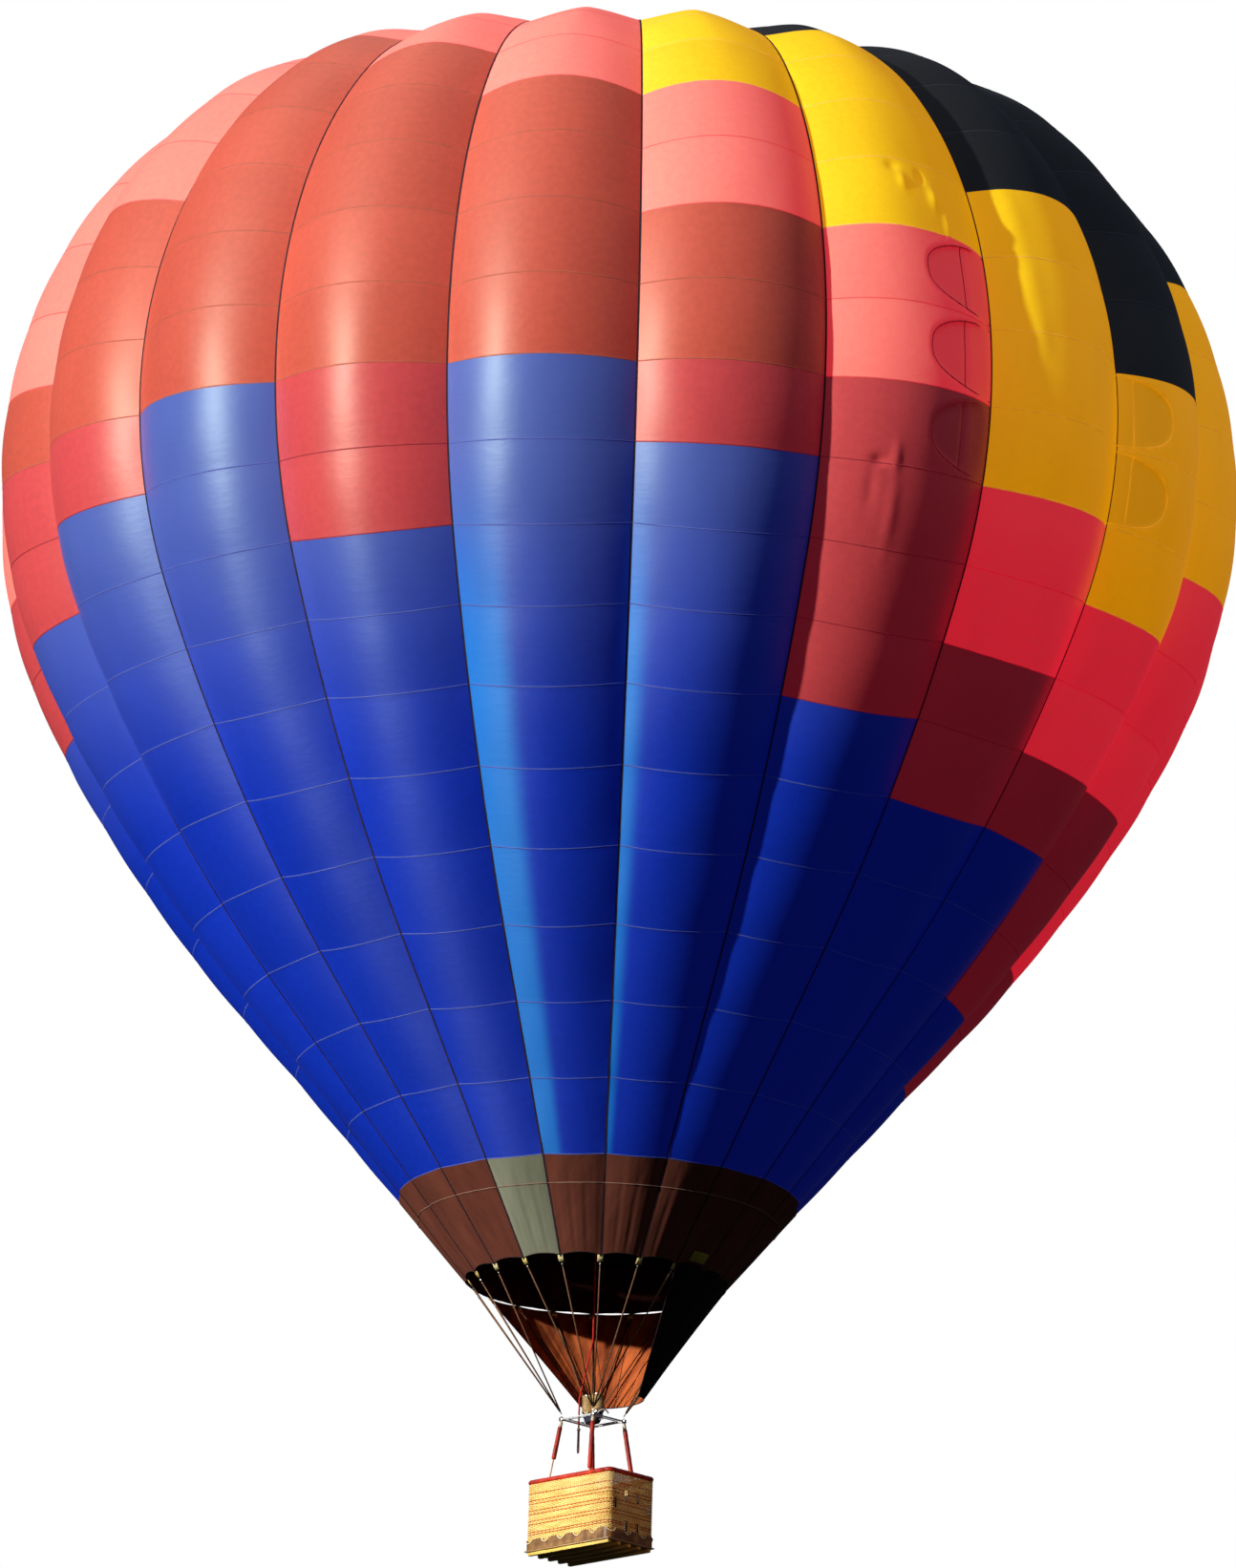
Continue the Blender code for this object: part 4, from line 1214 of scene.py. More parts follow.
def build_burner_frame():
    frame_shape = Shape()
    add_bars(frame_shape, FRAME_LENGTH, FRAME_WIDTH, FRAME_TUBE)
    frame_shape.slot = 1
    for _, x_side, y_side in CORNERS:
        corner = np.array([x_side * FRAME_LENGTH / 2, y_side * FRAME_WIDTH / 2, FRAME_Z])
        frame_shape.block(corner, (CORNER_BLOCK,) * 3, 0.006)
        for side in (-1, 1):
            place = corner + np.array([side * CORNER_BLOCK / 2, 0, 0])
            frame_shape.turned(BOLT_HEAD, place, 6, Matrix.Rotation(side * math.pi / 2, 4, "Y"))
    frame_shape.piece("frame_bars", [FRAME_PAINT, STEEL], crisp=True, slot="frame_steel",
                      replaces=("burner_frame",))
    ring = Shape()
    add_bars(ring, GIMBAL_LENGTH, GIMBAL_WIDTH, GIMBAL_BAR)
    ring.slot = 1
    for side in (-1, 1):
        ends = [(0, side * GIMBAL_WIDTH / 2, FRAME_Z), (0, side * RING_PIN_END, FRAME_Z)]
        ring.tube(ends, PIVOT_RADIUS, sides=16)
    ring.piece("gimbal_bars", [FRAME_PAINT, STEEL], crisp=True, body="gimbal_ring",
               slot="frame_steel", replaces=("gimbal_ring",))


build_burner_frame()


# Burner. Two cans of coiled stainless tube over jet rings; the fuel is boiled in the coils. Under
# them hangs the dark valve block with its blast handles, and a bent vapour pipe.
COIL_SPACING = 0.20
COIL_RADIUS = 0.090
COIL_TUBE = 0.007
COIL_TURNS = 16
COIL_HEIGHT = 0.285
BURNER_TOP = (0.34, 0.18)
BURNER_BOTTOM = (0.20, 0.14)
BURNER_RISE = 0.11
BURNER_DROP = 0.05
BLOCK_COLUMNS = 32
BLOCK_LEVELS = (0.0, 0.04, 0.30, 0.60, 0.90, 0.96, 1.0)
LINER_INSET = 0.010
LINER_THICKNESS = 0.002
JETS = 8
JET_RING_RADIUS = 0.045
JET_RING_RISE = 0.05
JET_RING_TUBE = 0.006
PILOT_RADIUS = 0.009
VAPOUR_PIPE_RADIUS = 0.0130
VAPOUR_PIPE = (
    # (x, y, height over the gimbal's axis)
    (0.150, -0.050, 0.095), (0.178, -0.035, 0.122), (0.200, -0.005, 0.142),
    (0.215, 0.040, 0.145), (0.222, 0.080, 0.128), (0.224, 0.105, 0.095),
)
BRASS_CAP = (
    # (radius, height)
    (0.040, 0.0), (0.046, 0.008), (0.046, 0.034), (0.032, 0.044), (0.0, 0.046),
)

HOT_STEEL = make_paint("heated_steel", (0.16, 0.07, 0.025), (0.80, 0.56, 0.26))
DARK_ENAMEL = make_paint("dark_enamel", (0.010, 0.014, 0.035), (0.030, 0.040, 0.085))
PALE_HOSE = make_paint("pale_hose", (0.60, 0.58, 0.55), (0.90, 0.86, 0.82))
BRASS = make_metal("brass", (0.60, 0.36, 0.10), (0.85, 0.60, 0.22), 0.28)


def build_can(node, side):
    """One can: a close coil of tube round a thin liner, with a jet ring and a pilot light."""
    base = FRAME_Z + BURNER_RISE
    can = Shape()
    x = side * COIL_SPACING / 2
    steps = COIL_TURNS * 24
    helix = [(x + COIL_RADIUS * math.cos(2 * math.pi * k / 24),
              COIL_RADIUS * math.sin(2 * math.pi * k / 24),
              base + 0.012 + (COIL_HEIGHT - 0.024) * k / steps) for k in range(steps + 1)]
    can.tube(helix, COIL_TUBE, sides=8)
    outer = COIL_RADIUS - LINER_INSET
    inner = outer - LINER_THICKNESS
    can.slot = 1
    can.turned([(outer, 0.001), (outer, COIL_HEIGHT), (inner, COIL_HEIGHT), (inner, 0.001)],
               (x, 0, base), 32)
    can.slot = 2
    ring = circle((x, 0, base + JET_RING_RISE), JET_RING_RADIUS, 32)
    can.tube(ring, JET_RING_TUBE, sides=8, looped=True)
    for place in circle((x, 0, base + JET_RING_RISE + 0.004), JET_RING_RADIUS, JETS):
        can.turned([(0.004, 0.0), (0.004, 0.012), (0.0015, 0.015)], place, 8)
    can.turned([(PILOT_RADIUS, 0.0), (PILOT_RADIUS, 0.05), (0.0, 0.052)], (x, 0, base), 12)
    can.piece(f"{node}_tube", [HOT_STEEL, STEEL, BRASS], crisp=True, body="burner",
              slot="burner_steel", replaces=(node,))


def build_valve_block():
    """The dark tapered housing, its trunnions, valves, blast handles, pipes and hose unions."""
    body = Shape()
    low, high = FRAME_Z - BURNER_DROP, FRAME_Z + BURNER_RISE - 0.002
    rings = []
    for share in BLOCK_LEVELS:
        inset = 0.006 if share in (0.0, 1.0) else 0.0
        swell = 0.010 * math.sin(math.pi * min(1.0, share / 0.9))
        half_x = (BURNER_BOTTOM[0] + (BURNER_TOP[0] - BURNER_BOTTOM[0]) * share) / 2 - inset
        half_y = (BURNER_BOTTOM[1] + (BURNER_TOP[1] - BURNER_BOTTOM[1]) * share) / 2 - inset
        rings.append([((half_x + swell) * math.copysign(abs(math.cos(t)) ** 0.5, math.cos(t)),
                       half_y * math.copysign(abs(math.sin(t)) ** 0.5, math.sin(t)),
                       low + (high - low) * share) for t in full_turn(BLOCK_COLUMNS)])
    first = body.grid(np.array(rings), closed=True)
    last = first + (len(BLOCK_LEVELS) - 1) * BLOCK_COLUMNS
    body.face(*range(first + BLOCK_COLUMNS - 1, first - 1, -1))
    body.face(*range(last, last + BLOCK_COLUMNS))
    body.slot = 1
    for side in (-1, 1):
        body.tube([(side * 0.09, 0, FRAME_Z), (side * BLOCK_PIN_END, 0, FRAME_Z)], PIVOT_RADIUS,
                  sides=16)
        x = side * COIL_SPACING / 2
        body.tube([(x, -0.085, FRAME_Z + 0.060), (x, -0.118, FRAME_Z + 0.060)], 0.013, sides=12)
        body.tube([(x - 0.05, -0.115, FRAME_Z + 0.070), (x, -0.122, FRAME_Z + 0.062),
                   (x + 0.05, -0.115, FRAME_Z + 0.070)], 0.006, sides=8)
    body.slot = 3
    body.tube([(x, y, FRAME_Z + rise) for x, y, rise in VAPOUR_PIPE], VAPOUR_PIPE_RADIUS, sides=10)
    body.tube([(-0.035, -0.060, low - 0.020), (-0.035, -0.060, low + 0.01)], 0.014, sides=12)
    body.slot = 2
    body.turned(BRASS_CAP, (-0.010, -0.095, FRAME_Z + 0.070), 20)
    for side in (-1, 1):
        body.tube([(side * 0.055, 0.02, low - 0.012), (side * 0.055, 0.02, low + 0.01)], 0.011,
                  sides=6)
    body.piece("burner_body", [DARK_ENAMEL, STEEL, BRASS, PALE_HOSE], crisp=True, body="burner",
               slot="burner_steel", replaces=("burner_block",))


build_can("burner_coil_left", -1)
build_can("burner_coil_right", 1)
build_valve_block()


# Uprights. Nylon rods lean from the frame's corners down to the basket's rim, under padded red
# covers that are zipped round them; pale sleeves show above the covers.
UPRIGHT_RIM_X = 0.41
RIM_Z = -15.29
RIM_RADIUS = 0.036
PAD_RADIUS = 0.036
PAD_SHARES = {"front_left": 0.68, "back_left": 0.90, "front_right": 0.965, "back_right": 0.965}
ROD_RADIUS = 0.011
BASKET_LENGTH = 1.74
BASKET_WIDTH = 1.02
BASKET_CORNER = 0.10
SLEEVE_LENGTH = 0.09
SLEEVE_RADIUS = 0.028
COVER_STOPS = 60
COVER_TAPER = 0.02


def make_leather(name, dark, light):
    """Hide, sleeve or sewn cover: pores, soft creases and rubbed, darker patches."""
    finish = Finish(name, Specular_IOR_Level=0.5)
    place = finish.where()
    rubbed = finish.noise(place, 6.0, 4.0).between(0.35, 0.7)
    finish.colour(finish.mix(rubbed, dark, light))
    finish.roughness(0.42 + 0.2 * rubbed)
    pores = finish.noise(place, 260.0, 2.0)
    creases = finish.noise(finish.where((1.0, 1.0, 2.5)), 22.0, 4.0, 0.6)
    finish.bump(creases * 0.004 + pores * 0.0005, 1.0, 0.6)
    return finish.material


RED_LEATHER = make_leather("red_leather", (0.30, 0.010, 0.004), (0.60, 0.030, 0.008))
CREAM_LEATHER = make_leather("cream_leather", (0.70, 0.56, 0.38), (0.92, 0.80, 0.62))
NYLON_ROD = make_leather("nylon_rod", (0.52, 0.30, 0.14), (0.70, 0.45, 0.24))


def build_uprights():
    top_z = FRAME_Z - CORNER_BLOCK / 2
    for name, x_side, y_side in CORNERS:
        top = np.array([x_side * FRAME_LENGTH / 2, y_side * FRAME_WIDTH / 2, top_z - 0.006])
        foot = np.array([x_side * UPRIGHT_RIM_X, y_side * (BASKET_WIDTH / 2 - RIM_RADIUS), RIM_Z])
        along = (foot - top) / np.linalg.norm(foot - top)
        length = float(np.linalg.norm(foot - top))
        rods = Shape()
        rods.tube([top + along * 0.004, foot], ROD_RADIUS, sides=10)
        rods.slot = 1
        sleeve = [top + along * s for s in (0.006, 0.012, SLEEVE_LENGTH - 0.004, SLEEVE_LENGTH)]
        hem = SLEEVE_RADIUS - 0.004
        rods.tube(sleeve, np.array([hem, SLEEVE_RADIUS, SLEEVE_RADIUS, hem]), sides=16)
        rods.piece(f"upright_rod_{name}", [NYLON_ROD, CREAM_LEATHER], slot="rim_leather",
                   replaces=(f"upright_{name}",))
        cover = Shape()
        end = PAD_SHARES[name] * length
        places = np.linspace(SLEEVE_LENGTH - 0.01, end, COVER_STOPS)
        from_ends = np.minimum(places - places[0], end - places)
        taper = np.clip(from_ends / COVER_TAPER, 0, 1)
        wrinkle = np.array([noise.noise(Vector((s * 14.0, x_side * 3.0, y_side * 5.0)))
                            for s in places])
        width = (PAD_RADIUS + 0.0020 * (wrinkle - 0.5)) * (0.55 + 0.45 * np.sqrt(taper))
        cover.tube([top + along * s for s in places], width, sides=20)
        padded = cover.piece(f"upright_cover_{name}", [RED_LEATHER], slot="rim_leather")


build_uprights()


# Basket. Willow and cane woven round upright stakes over a plywood floor, with darker bands, foot
# slots through both short sides, a padded rim, a laced rawhide band at the foot and ash skids.
WALL = 0.035
SKID_BOTTOM_Z = -16.455
SKID_HEIGHT = 0.055
SKID_WIDTH = 0.070
SKIDS = 5
SKID_INSET = 0.035
FLOOR_THICKNESS = 0.018
FLOOR_TOP_Z = SKID_BOTTOM_Z + SKID_HEIGHT + FLOOR_THICKNESS
WALL_TOP_Z = RIM_Z - 2 * RIM_RADIUS
HIDE_HEIGHT = 0.17
HIDE_THICKNESS = 0.006
STRAND_PITCH = 0.0175
STRAND_HALF_DEPTH = 0.0060
STRAND_WAVE = 0.0085
STRAND_SIDES = 5
STAKES = 132
STAKE_RADIUS = 0.0045
DARK_BANDS = (0.142, 0.307, 0.470, 0.630, 0.790)
FOOT_SLOTS = (
    # (y, distance below the rim)
    (-0.13, 0.39), (0.13, 0.39), (-0.37, 0.54), (0.37, 0.54), (-0.125, 0.865), (0.125, 0.865),
)
SLOT_HALF = (0.041, 0.084)
SLOT_BINDING = 0.007
RIM_STOPS = 320
RIM_SIDES = 20
RIM_PROUD = 0.003
RIM_WRINKLE = 0.0016
RIM_STITCHES = 0.30


def make_cane(name, dark, light):
    """Varnished cane: long fibres, knots and uneven drying."""
    finish = Finish(name, Specular_IOR_Level=0.5, Coat_Weight=0.12, Coat_Roughness=0.3)
    place = finish.where()
    tone = finish.noise(finish.where((1.0, 1.0, 6.0)), 3.5, 4.0).between(0.3, 0.7)
    fibre = finish.noise(finish.where((0.5, 0.5, 12.0)), 60.0, 3.0)
    finish.colour(finish.mix(tone, dark, finish.mix(fibre, scaled(light, 0.8), light)))
    finish.roughness(0.45 + 0.2 * tone)
    finish.bump(fibre * 0.0006 + finish.noise(place, 40.0) * 0.0006, 1.0, 0.6)
    return finish.material


CANE = make_cane("cane", (0.78, 0.50, 0.12), (1.00, 0.80, 0.30))
DARK_CANE = make_cane("dark_cane", (0.42, 0.09, 0.015), (0.62, 0.17, 0.035))
STAKE_CANE = make_cane("stake_cane", (0.60, 0.34, 0.08), (0.86, 0.56, 0.18))


def outline_point(place, inset=0.0):
    """A point and the outward direction on the wall's rounded rectangle, by distance round it."""
    corner = BASKET_CORNER
    half_size = np.array([BASKET_LENGTH / 2 - corner, BASKET_WIDTH / 2 - corner])
    arc = corner * math.pi / 2
    place %= PERIMETER
    for side, signs in enumerate(((1, -1), (1, 1), (-1, 1), (-1, -1))):
        heading = side * math.pi / 2
        ahead = np.array([math.cos(heading), math.sin(heading)])
        out = np.array([ahead[1], -ahead[0]])
        centre = half_size * signs
        straight = 2 * half_size[side % 2]
        if place <= straight:
            return centre + ahead * (place - straight) + out * (corner - inset), out
        place -= straight
        if place <= arc:
            swung = math.cos(place / corner) * out + math.sin(place / corner) * ahead
            return centre + swung * (corner - inset), swung
        place -= arc
    return outline_point(0.0, inset)


PERIMETER = 2 * (BASKET_LENGTH + BASKET_WIDTH - 4 * BASKET_CORNER) + 2 * math.pi * BASKET_CORNER


def in_slot(point, z, margin=0.0):
    """Whether a place on the wall lies in one of the foot slots."""
    if abs(point[0]) < BASKET_LENGTH / 2 - 0.06:
        return False
    return any(abs(point[1] - y) < SLOT_HALF[0] + margin
               and abs(z - (RIM_Z - below)) < SLOT_HALF[1] + margin for y, below in FOOT_SLOTS)


def build_weave():
    weave = Shape()
    middle = WALL / 2
    stops = 2 * STAKES
    base = [outline_point(PERIMETER * k / stops, middle) for k in range(stops)]
    height = WALL_TOP_Z - FLOOR_TOP_Z
    rows = int(height / STRAND_PITCH)
    pitch = height / rows
    turns = full_turn(STRAND_SIDES)
    for row in range(rows):
        z = FLOOR_TOP_Z + (row + 0.5) * pitch
        below = WALL_TOP_Z - z
        thick = any(abs(below - band) < 0.55 * pitch for band in DARK_BANDS)
        thin = any(abs(below - band + 0.05) < 0.5 * pitch for band in DARK_BANDS[1:])
        weave.slot = 1 if thick or thin else 0
        rings, skip = [], []
        for stop in range(stops):
            point, out = base[stop]
            wave = 0.0 if stop % 2 else STRAND_WAVE * (1 if (stop // 2 + row) % 2 else -1)
            centre = np.array([*(point + out * wave), z])
            outwards = np.array([out[0], out[1], 0.0])
            rings.append(centre + np.outer(np.cos(turns), outwards) * STRAND_HALF_DEPTH
                         + np.outer(np.sin(turns), (0, 0, 1)) * -pitch * 0.52)
            if in_slot(point, z):
                skip.append(stop)
        rings.append(rings[0])
        weave.grid(np.array(rings), closed=True, skip=skip)
    weave.slot = 2
    for stake in range(STAKES):
        point, out = base[2 * stake]
        levels = [FLOOR_TOP_Z, WALL_TOP_Z + 0.01]
        for _, below_rim in FOOT_SLOTS:
            if in_slot(point, RIM_Z - below_rim):
                levels[1:1] = [RIM_Z - below_rim - SLOT_HALF[1], RIM_Z - below_rim + SLOT_HALF[1]]
        levels.sort()
        for low, high in zip(levels[::2], levels[1::2]):
            weave.tube([(*point, low), (*point, high)], STAKE_RADIUS, sides=5)
    return weave


def build_slot_bindings(weave):
    """Bound edges of split cane round each foot slot."""
    for x_side in (-1, 1):
        x = x_side * (BASKET_LENGTH / 2 - WALL / 2)
        for y, below in FOOT_SLOTS:
            z = RIM_Z - below
            half_y, half_z = (half + 0.006 for half in SLOT_HALF)
            loop = [(x, y + half_y * math.copysign(abs(math.cos(a)) ** 0.35, math.cos(a)),
                     z + half_z * math.copysign(abs(math.sin(a)) ** 0.35, math.sin(a)))
                    for a in np.linspace(0.01, 2 * math.pi + 0.01, 40, endpoint=False)]
            weave.tube(loop, SLOT_BINDING, sides=6, looped=True, side=(1.0, 0.0, 0.0))


def build_basket_wall():
    weave = build_weave()
    build_slot_bindings(weave)
    weave.piece("basket_weave", [CANE, DARK_CANE, STAKE_CANE], slot="wicker",
                replaces=("basket_wall",))


def build_rim():
    rings = []
    for stop in range(RIM_STOPS):
        s = PERIMETER * stop / RIM_STOPS
        point, out = outline_point(s, RIM_RADIUS)
        pinch = RIM_WRINKLE * (0.5 + 0.5 * math.cos(2 * math.pi * s / RIM_STITCHES)) ** 12
        ring = []
        for k in range(RIM_SIDES):
            turn = 2 * math.pi * k / RIM_SIDES
            place = Vector((s * 13.0, 2.2 * math.cos(turn), 2.2 * math.sin(turn)))
            reach = RIM_RADIUS + RIM_PROUD - pinch + RIM_WRINKLE * noise.noise(place)
            ring.append((point[0] + out[0] * reach * math.cos(turn),
                         point[1] + out[1] * reach * math.cos(turn),
                         RIM_Z - RIM_RADIUS - reach * math.sin(turn)))
        rings.append(ring)
    rings.append(rings[0])
    rim = Shape()
    rim.grid(np.array(rings), closed=True)
    piece = rim.piece("rim_roll", [RED_LEATHER], slot="rim_leather", replaces=("basket_rim",))


HIDE = make_leather("rawhide", (0.13, 0.055, 0.012), (0.30, 0.145, 0.034))
LACE = make_cordage("lace", (0.80, 0.62, 0.30), (0.98, 0.86, 0.55))
ASH = make_cane("ash_wood", (0.74, 0.46, 0.08), (1.00, 0.78, 0.20))
PLYWOOD = make_cane("plywood", (0.36, 0.22, 0.11), (0.52, 0.34, 0.17))
SCALLOPS = 16
SCALLOP_DEPTH = 0.055
HIDE_GRID = (320, 8)
LACE_EVERY = 4
LACE_RADIUS = 0.0040
SWAG_RADIUS = 0.0075
SWAG_HALF = 0.075


def build_hide():
    stops, levels = HIDE_GRID
    points = np.empty((levels + 1, stops + 1, 3))
    for stop in range(stops + 1):
        point, out = outline_point(PERIMETER * stop / stops, -0.5 * HIDE_THICKNESS)
        wave = abs(math.sin(math.pi * SCALLOPS * stop / stops))
        top = HIDE_HEIGHT - SCALLOP_DEPTH * (1 - wave ** 0.6)
        for level in range(levels + 1):
            z = FLOOR_TOP_Z + 0.002 + (top - 0.004) * (1 - level / levels)
            points[level, stop] = (*(point + out * 0.001), z)
    mesh = grid_mesh("hide_band", points, [HIDE], maps={"cloth": flat_cut(points)})
    piece = add_piece("hide_band", mesh, slot="hide", replaces=("basket_hide",))
    lacing = Shape()
    for stop in range(0, stops, LACE_EVERY):
        top = points[0, stop]
        point, out = outline_point(PERIMETER * stop / stops, 0.004)
        outer = np.array([*(point + out * 0.012), 0.0])
        inner = np.array([*(point - out * 0.002), 0.0])
        loop = [(outer[0], outer[1], top[2] - 0.018), (outer[0], outer[1], top[2] + 0.002),
                (inner[0], inner[1], top[2] + 0.010)]
        lacing.tube(loop, LACE_RADIUS, sides=6)
    for scallop in range(SCALLOPS):
        swag = []
        for turn in np.linspace(-1.0, 1.0, 15):
            place = PERIMETER * scallop / SCALLOPS + SWAG_HALF * turn
            point, out = outline_point(place, -HIDE_THICKNESS)
            drop = HIDE_HEIGHT - 0.060 + 0.045 * abs(turn) ** 1.6 - 0.012
            swag.append((*(point + out * 0.006), FLOOR_TOP_Z + drop))
        lacing.tube(swag, SWAG_RADIUS, sides=8)
    laces = lacing.piece("hide_lacing", [LACE], slot="hide")
    lengths = np.linalg.norm(np.diff(points[:, :, :2], axis=1), axis=2)[0]
    tops = points[0, :, 2] - points[-1, :, 2]
    area = float(np.sum(lengths * (tops[1:] + tops[:-1]) / 2))


def build_floor_and_skids():
    low = SKID_BOTTOM_Z + SKID_HEIGHT
    deck = Shape()
    deck.block((0, 0, low + FLOOR_THICKNESS / 2 + 0.0003),
               (BASKET_LENGTH, BASKET_WIDTH, FLOOR_THICKNESS), 0.003)
    deck.piece("floor_deck", [PLYWOOD], crisp=True, slot="plywood", replaces=("basket_floor",))
    for index in range(SKIDS):
        y = (index / (SKIDS - 1) - 0.5) * (BASKET_WIDTH - SKID_WIDTH - 2 * SKID_INSET)
        runner = Shape()
        runner.block((0, y, SKID_BOTTOM_Z + SKID_HEIGHT / 2),
                     (BASKET_LENGTH - 2 * SKID_INSET, SKID_WIDTH, SKID_HEIGHT), 0.016)
        runner.piece(f"runner_{index + 1}", [ASH], crisp=True, slot="skid_wood",
                     replaces=(f"skid_{index + 1}",))


build_basket_wall()
build_rim()
build_hide()
build_floor_and_skids()


# Gas cylinders. Four welded aluminium bottles stand in the basket's corners, each in a quilted
# jacket, with a guard ring at its valve and two webbing straps round the jacket. The jackets'
# near-black is partly painted shade: it keeps the foot slots dark like the basket's shaded inside.
CYLINDER_RADIUS = 0.150
CYLINDER_HEIGHT = 0.80
STRAP_LEVELS = (0.24, 0.58)
# Near-black jackets, partly painted shade: seen through the foot slots they stand for the basket's
# shaded inside.
JACKET = make_leather("quilted_jacket", (0.008, 0.009, 0.014), (0.020, 0.022, 0.032))


def build_cylinders():
    x = BASKET_LENGTH / 2 - WALL - CYLINDER_RADIUS - 0.02
    y = BASKET_WIDTH / 2 - WALL - CYLINDER_RADIUS - 0.02
    base = FLOOR_TOP_Z + 0.0006
    r, h = CYLINDER_RADIUS, CYLINDER_HEIGHT
    profile = [(0.0, 0.0), (0.6 * r, 0.0), (0.92 * r, 0.02), (r, 0.06), (r, h / 2 - 0.01),
               (r + 0.002, h / 2 - 0.005), (r + 0.002, h / 2 + 0.005), (r, h / 2 + 0.01),
               (r, h - 0.08), (0.9 * r, h - 0.035), (0.62 * r, h - 0.006), (0.3 * r, h),
               (0.10 * r, h + 0.001)]
    for name, x_side, y_side in CORNERS:
        centre = (x_side * x, y_side * y, base)
        bottle = Shape()
        bottle.turned(profile, centre, 40)
        bottle.slot = 1
        bottle.turned([(0.28 * r, h - 0.005), (0.29 * r, h + 0.045), (0.27 * r, h + 0.045),
                       (0.26 * r, h - 0.005)], centre, 24)
        bottle.turned([(0.012, h), (0.016, h + 0.015), (0.010, h + 0.02), (0.010, h + 0.034),
                       (0.018, h + 0.036), (0.018, h + 0.046), (0.0, h + 0.048)], centre, 12)
        bottle.slot = 2
        for level in STRAP_LEVELS:
            bottle.turned([(r + 0.008, level - 0.025), (r + 0.014, level - 0.024),
                           (r + 0.014, level + 0.024), (r + 0.008, level + 0.025)], centre, 40)
        bottle.slot = 3
        seams = [(r + 0.007 + 0.004 * math.cos(24 * math.pi * level), 0.06 + (h - 0.20) * level)
                 for level in np.linspace(0.0, 1.0, 49)]
        bottle.turned([(r + 0.001, 0.055), *seams, (r + 0.001, h - 0.135)], centre, 40)
        bottle.piece(f"bottle_{name}", [ALUMINIUM, BRASS, LOAD_TAPE, JACKET], crisp=True,
                     slot="tank", replaces=(f"gas_cylinder_{name}",))


build_cylinders()


# Studio. A floor lies just under the camera, a low sun-like lamp stands to its left, two narrow
# soft spots light the basket alone, and a dome gives a weak fill from above. The floor and the dome
# are shown to the camera paler than the light that they give.
FLOOR_Z = CAMERA_Z - 1.6
FLOOR_HALF = 6000.0
FLOOR_COLOUR = (0.80, 0.79, 0.77)
FLOOR_GLOW = (0.46, 0.45, 0.44, 1.0)
FLOOR_DIM = (0.03, 0.03, 0.03)
DOME_LOW = (0.05, (0.012, 0.012, 0.014, 1))
DOME_HIGH = (0.9, (0.24, 0.26, 0.32, 1))
SUN_ANGLE = math.radians(1.6)
SPOT_Z = -15.85
SPOT_AWAY = 14.0
SPOT_REACH = 0.95
SPOT_SETTINGS = {"spot_size": 2 * math.atan(SPOT_REACH / SPOT_AWAY), "spot_blend": 0.35,
                 "shadow_soft_size": 0.4}
LAMPS = (
    # (name, kind, azimuth and height in degrees as seen from the balloon, power, colour, settings)
    ("key_lamp", "SUN", -100.0, 12.0, 3.4, (1.0, 0.95, 0.87), {"angle": SUN_ANGLE}),
    ("front_lamp", "SPOT", -98.0, 6.0, 7000.0, (1.0, 0.90, 0.70), SPOT_SETTINGS),
    ("side_lamp", "SPOT", -12.0, 2.0, 900.0, (1.0, 0.50, 0.30), SPOT_SETTINGS),
)


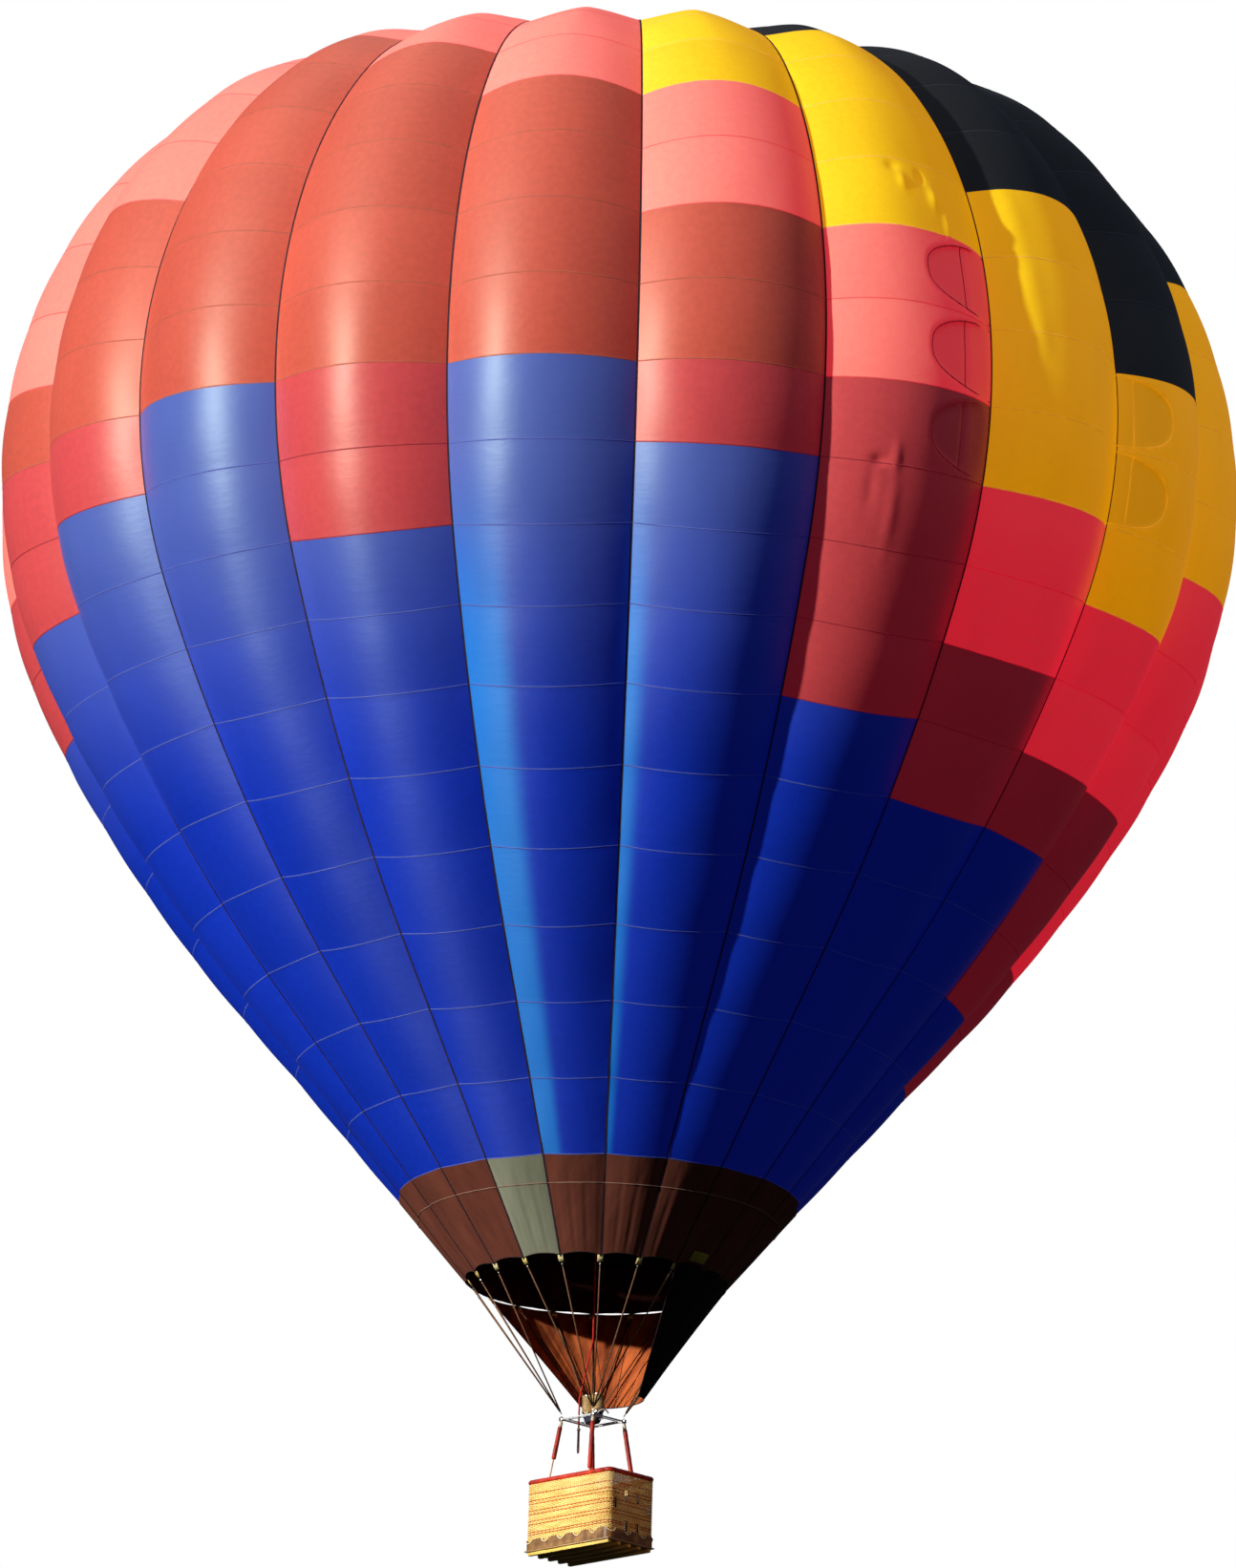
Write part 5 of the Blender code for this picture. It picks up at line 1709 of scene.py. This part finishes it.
def add_floor():
    work = bmesh.new()
    bmesh.ops.create_grid(work, x_segments=1, y_segments=1, size=FLOOR_HALF)
    mesh = bpy.data.meshes.new("floor")
    work.to_mesh(mesh)
    work.free()
    finish = Finish("floor", roughness=0.9, Emission_Color=FLOOR_GLOW, Emission_Strength=1.0)
    finish.colour(FLOOR_COLOUR)
    output = finish.tree.nodes["Material Output"]
    rays = finish.add("LightPath", output=0)
    behind = finish.add("NewGeometry", output=6)
    clear = finish.add("BsdfTransparent")
    solid = Value(finish, finish.shader.outputs[0])
    dim = finish.add("BsdfDiffuse", None, {"Color": FLOOR_DIM})
    lit = finish.add("MixShader", None, {0: rays, 1: dim, 2: solid})
    seen = finish.add("MixShader", None, {0: behind, 1: lit, 2: clear})
    finish.tree.links.new(seen.socket, output.inputs["Surface"])
    mesh.materials.append(finish.material)
    floor = bpy.data.objects.new("floor", mesh)
    floor.location = (0, 0, FLOOR_Z)
    bpy.context.scene.collection.objects.link(floor)


def add_lamp(name, kind, azimuth, height, power, colour, settings):
    """A lamp aimed at the basket; a sun-like one has the same direction everywhere."""
    data = bpy.data.lights.new(name, kind)
    data.energy = power
    data.color = colour
    for key, value in settings.items():
        setattr(data, key, value)
    azimuth, height = math.radians(azimuth), math.radians(height)
    towards = Vector((math.cos(height) * math.cos(azimuth), math.cos(height) * math.sin(azimuth),
                      math.sin(height)))
    lamp = bpy.data.objects.new(name, data)
    lamp.location = Vector((0, 0, SPOT_Z)) + towards * SPOT_AWAY
    lamp.rotation_mode = "QUATERNION"
    lamp.rotation_quaternion = towards.to_track_quat("Z", "Y")
    bpy.context.scene.collection.objects.link(lamp)


def add_dome():
    world = bpy.data.worlds.new("dome")
    world.use_nodes = True
    tree = world.node_tree
    back = tree.nodes["Background"]
    rays = tree.nodes.new("ShaderNodeLightPath")
    place = tree.nodes.new("ShaderNodeTexCoord")
    split = tree.nodes.new("ShaderNodeSeparateXYZ")
    ramp = tree.nodes.new("ShaderNodeValToRGB")
    for element, (position, colour) in zip(ramp.color_ramp.elements, (DOME_LOW, DOME_HIGH)):
        element.position = position
        element.color = colour
    mix = tree.nodes.new("ShaderNodeMix")
    mix.data_type = "RGBA"
    tree.links.new(place.outputs["Generated"], split.inputs[0])
    tree.links.new(split.outputs["Z"], ramp.inputs[0])
    tree.links.new(rays.outputs["Is Camera Ray"], mix.inputs[0])
    tree.links.new(ramp.outputs[0], mix.inputs[6])
    mix.inputs[7].default_value = (1.0, 1.0, 1.0, 1.0)
    tree.links.new(mix.outputs[2], back.inputs["Color"])
    bpy.context.scene.world = world


add_floor()
for lamp in LAMPS:
    add_lamp(*lamp)
add_dome()
bpy.context.scene.view_settings.view_transform = "Standard"
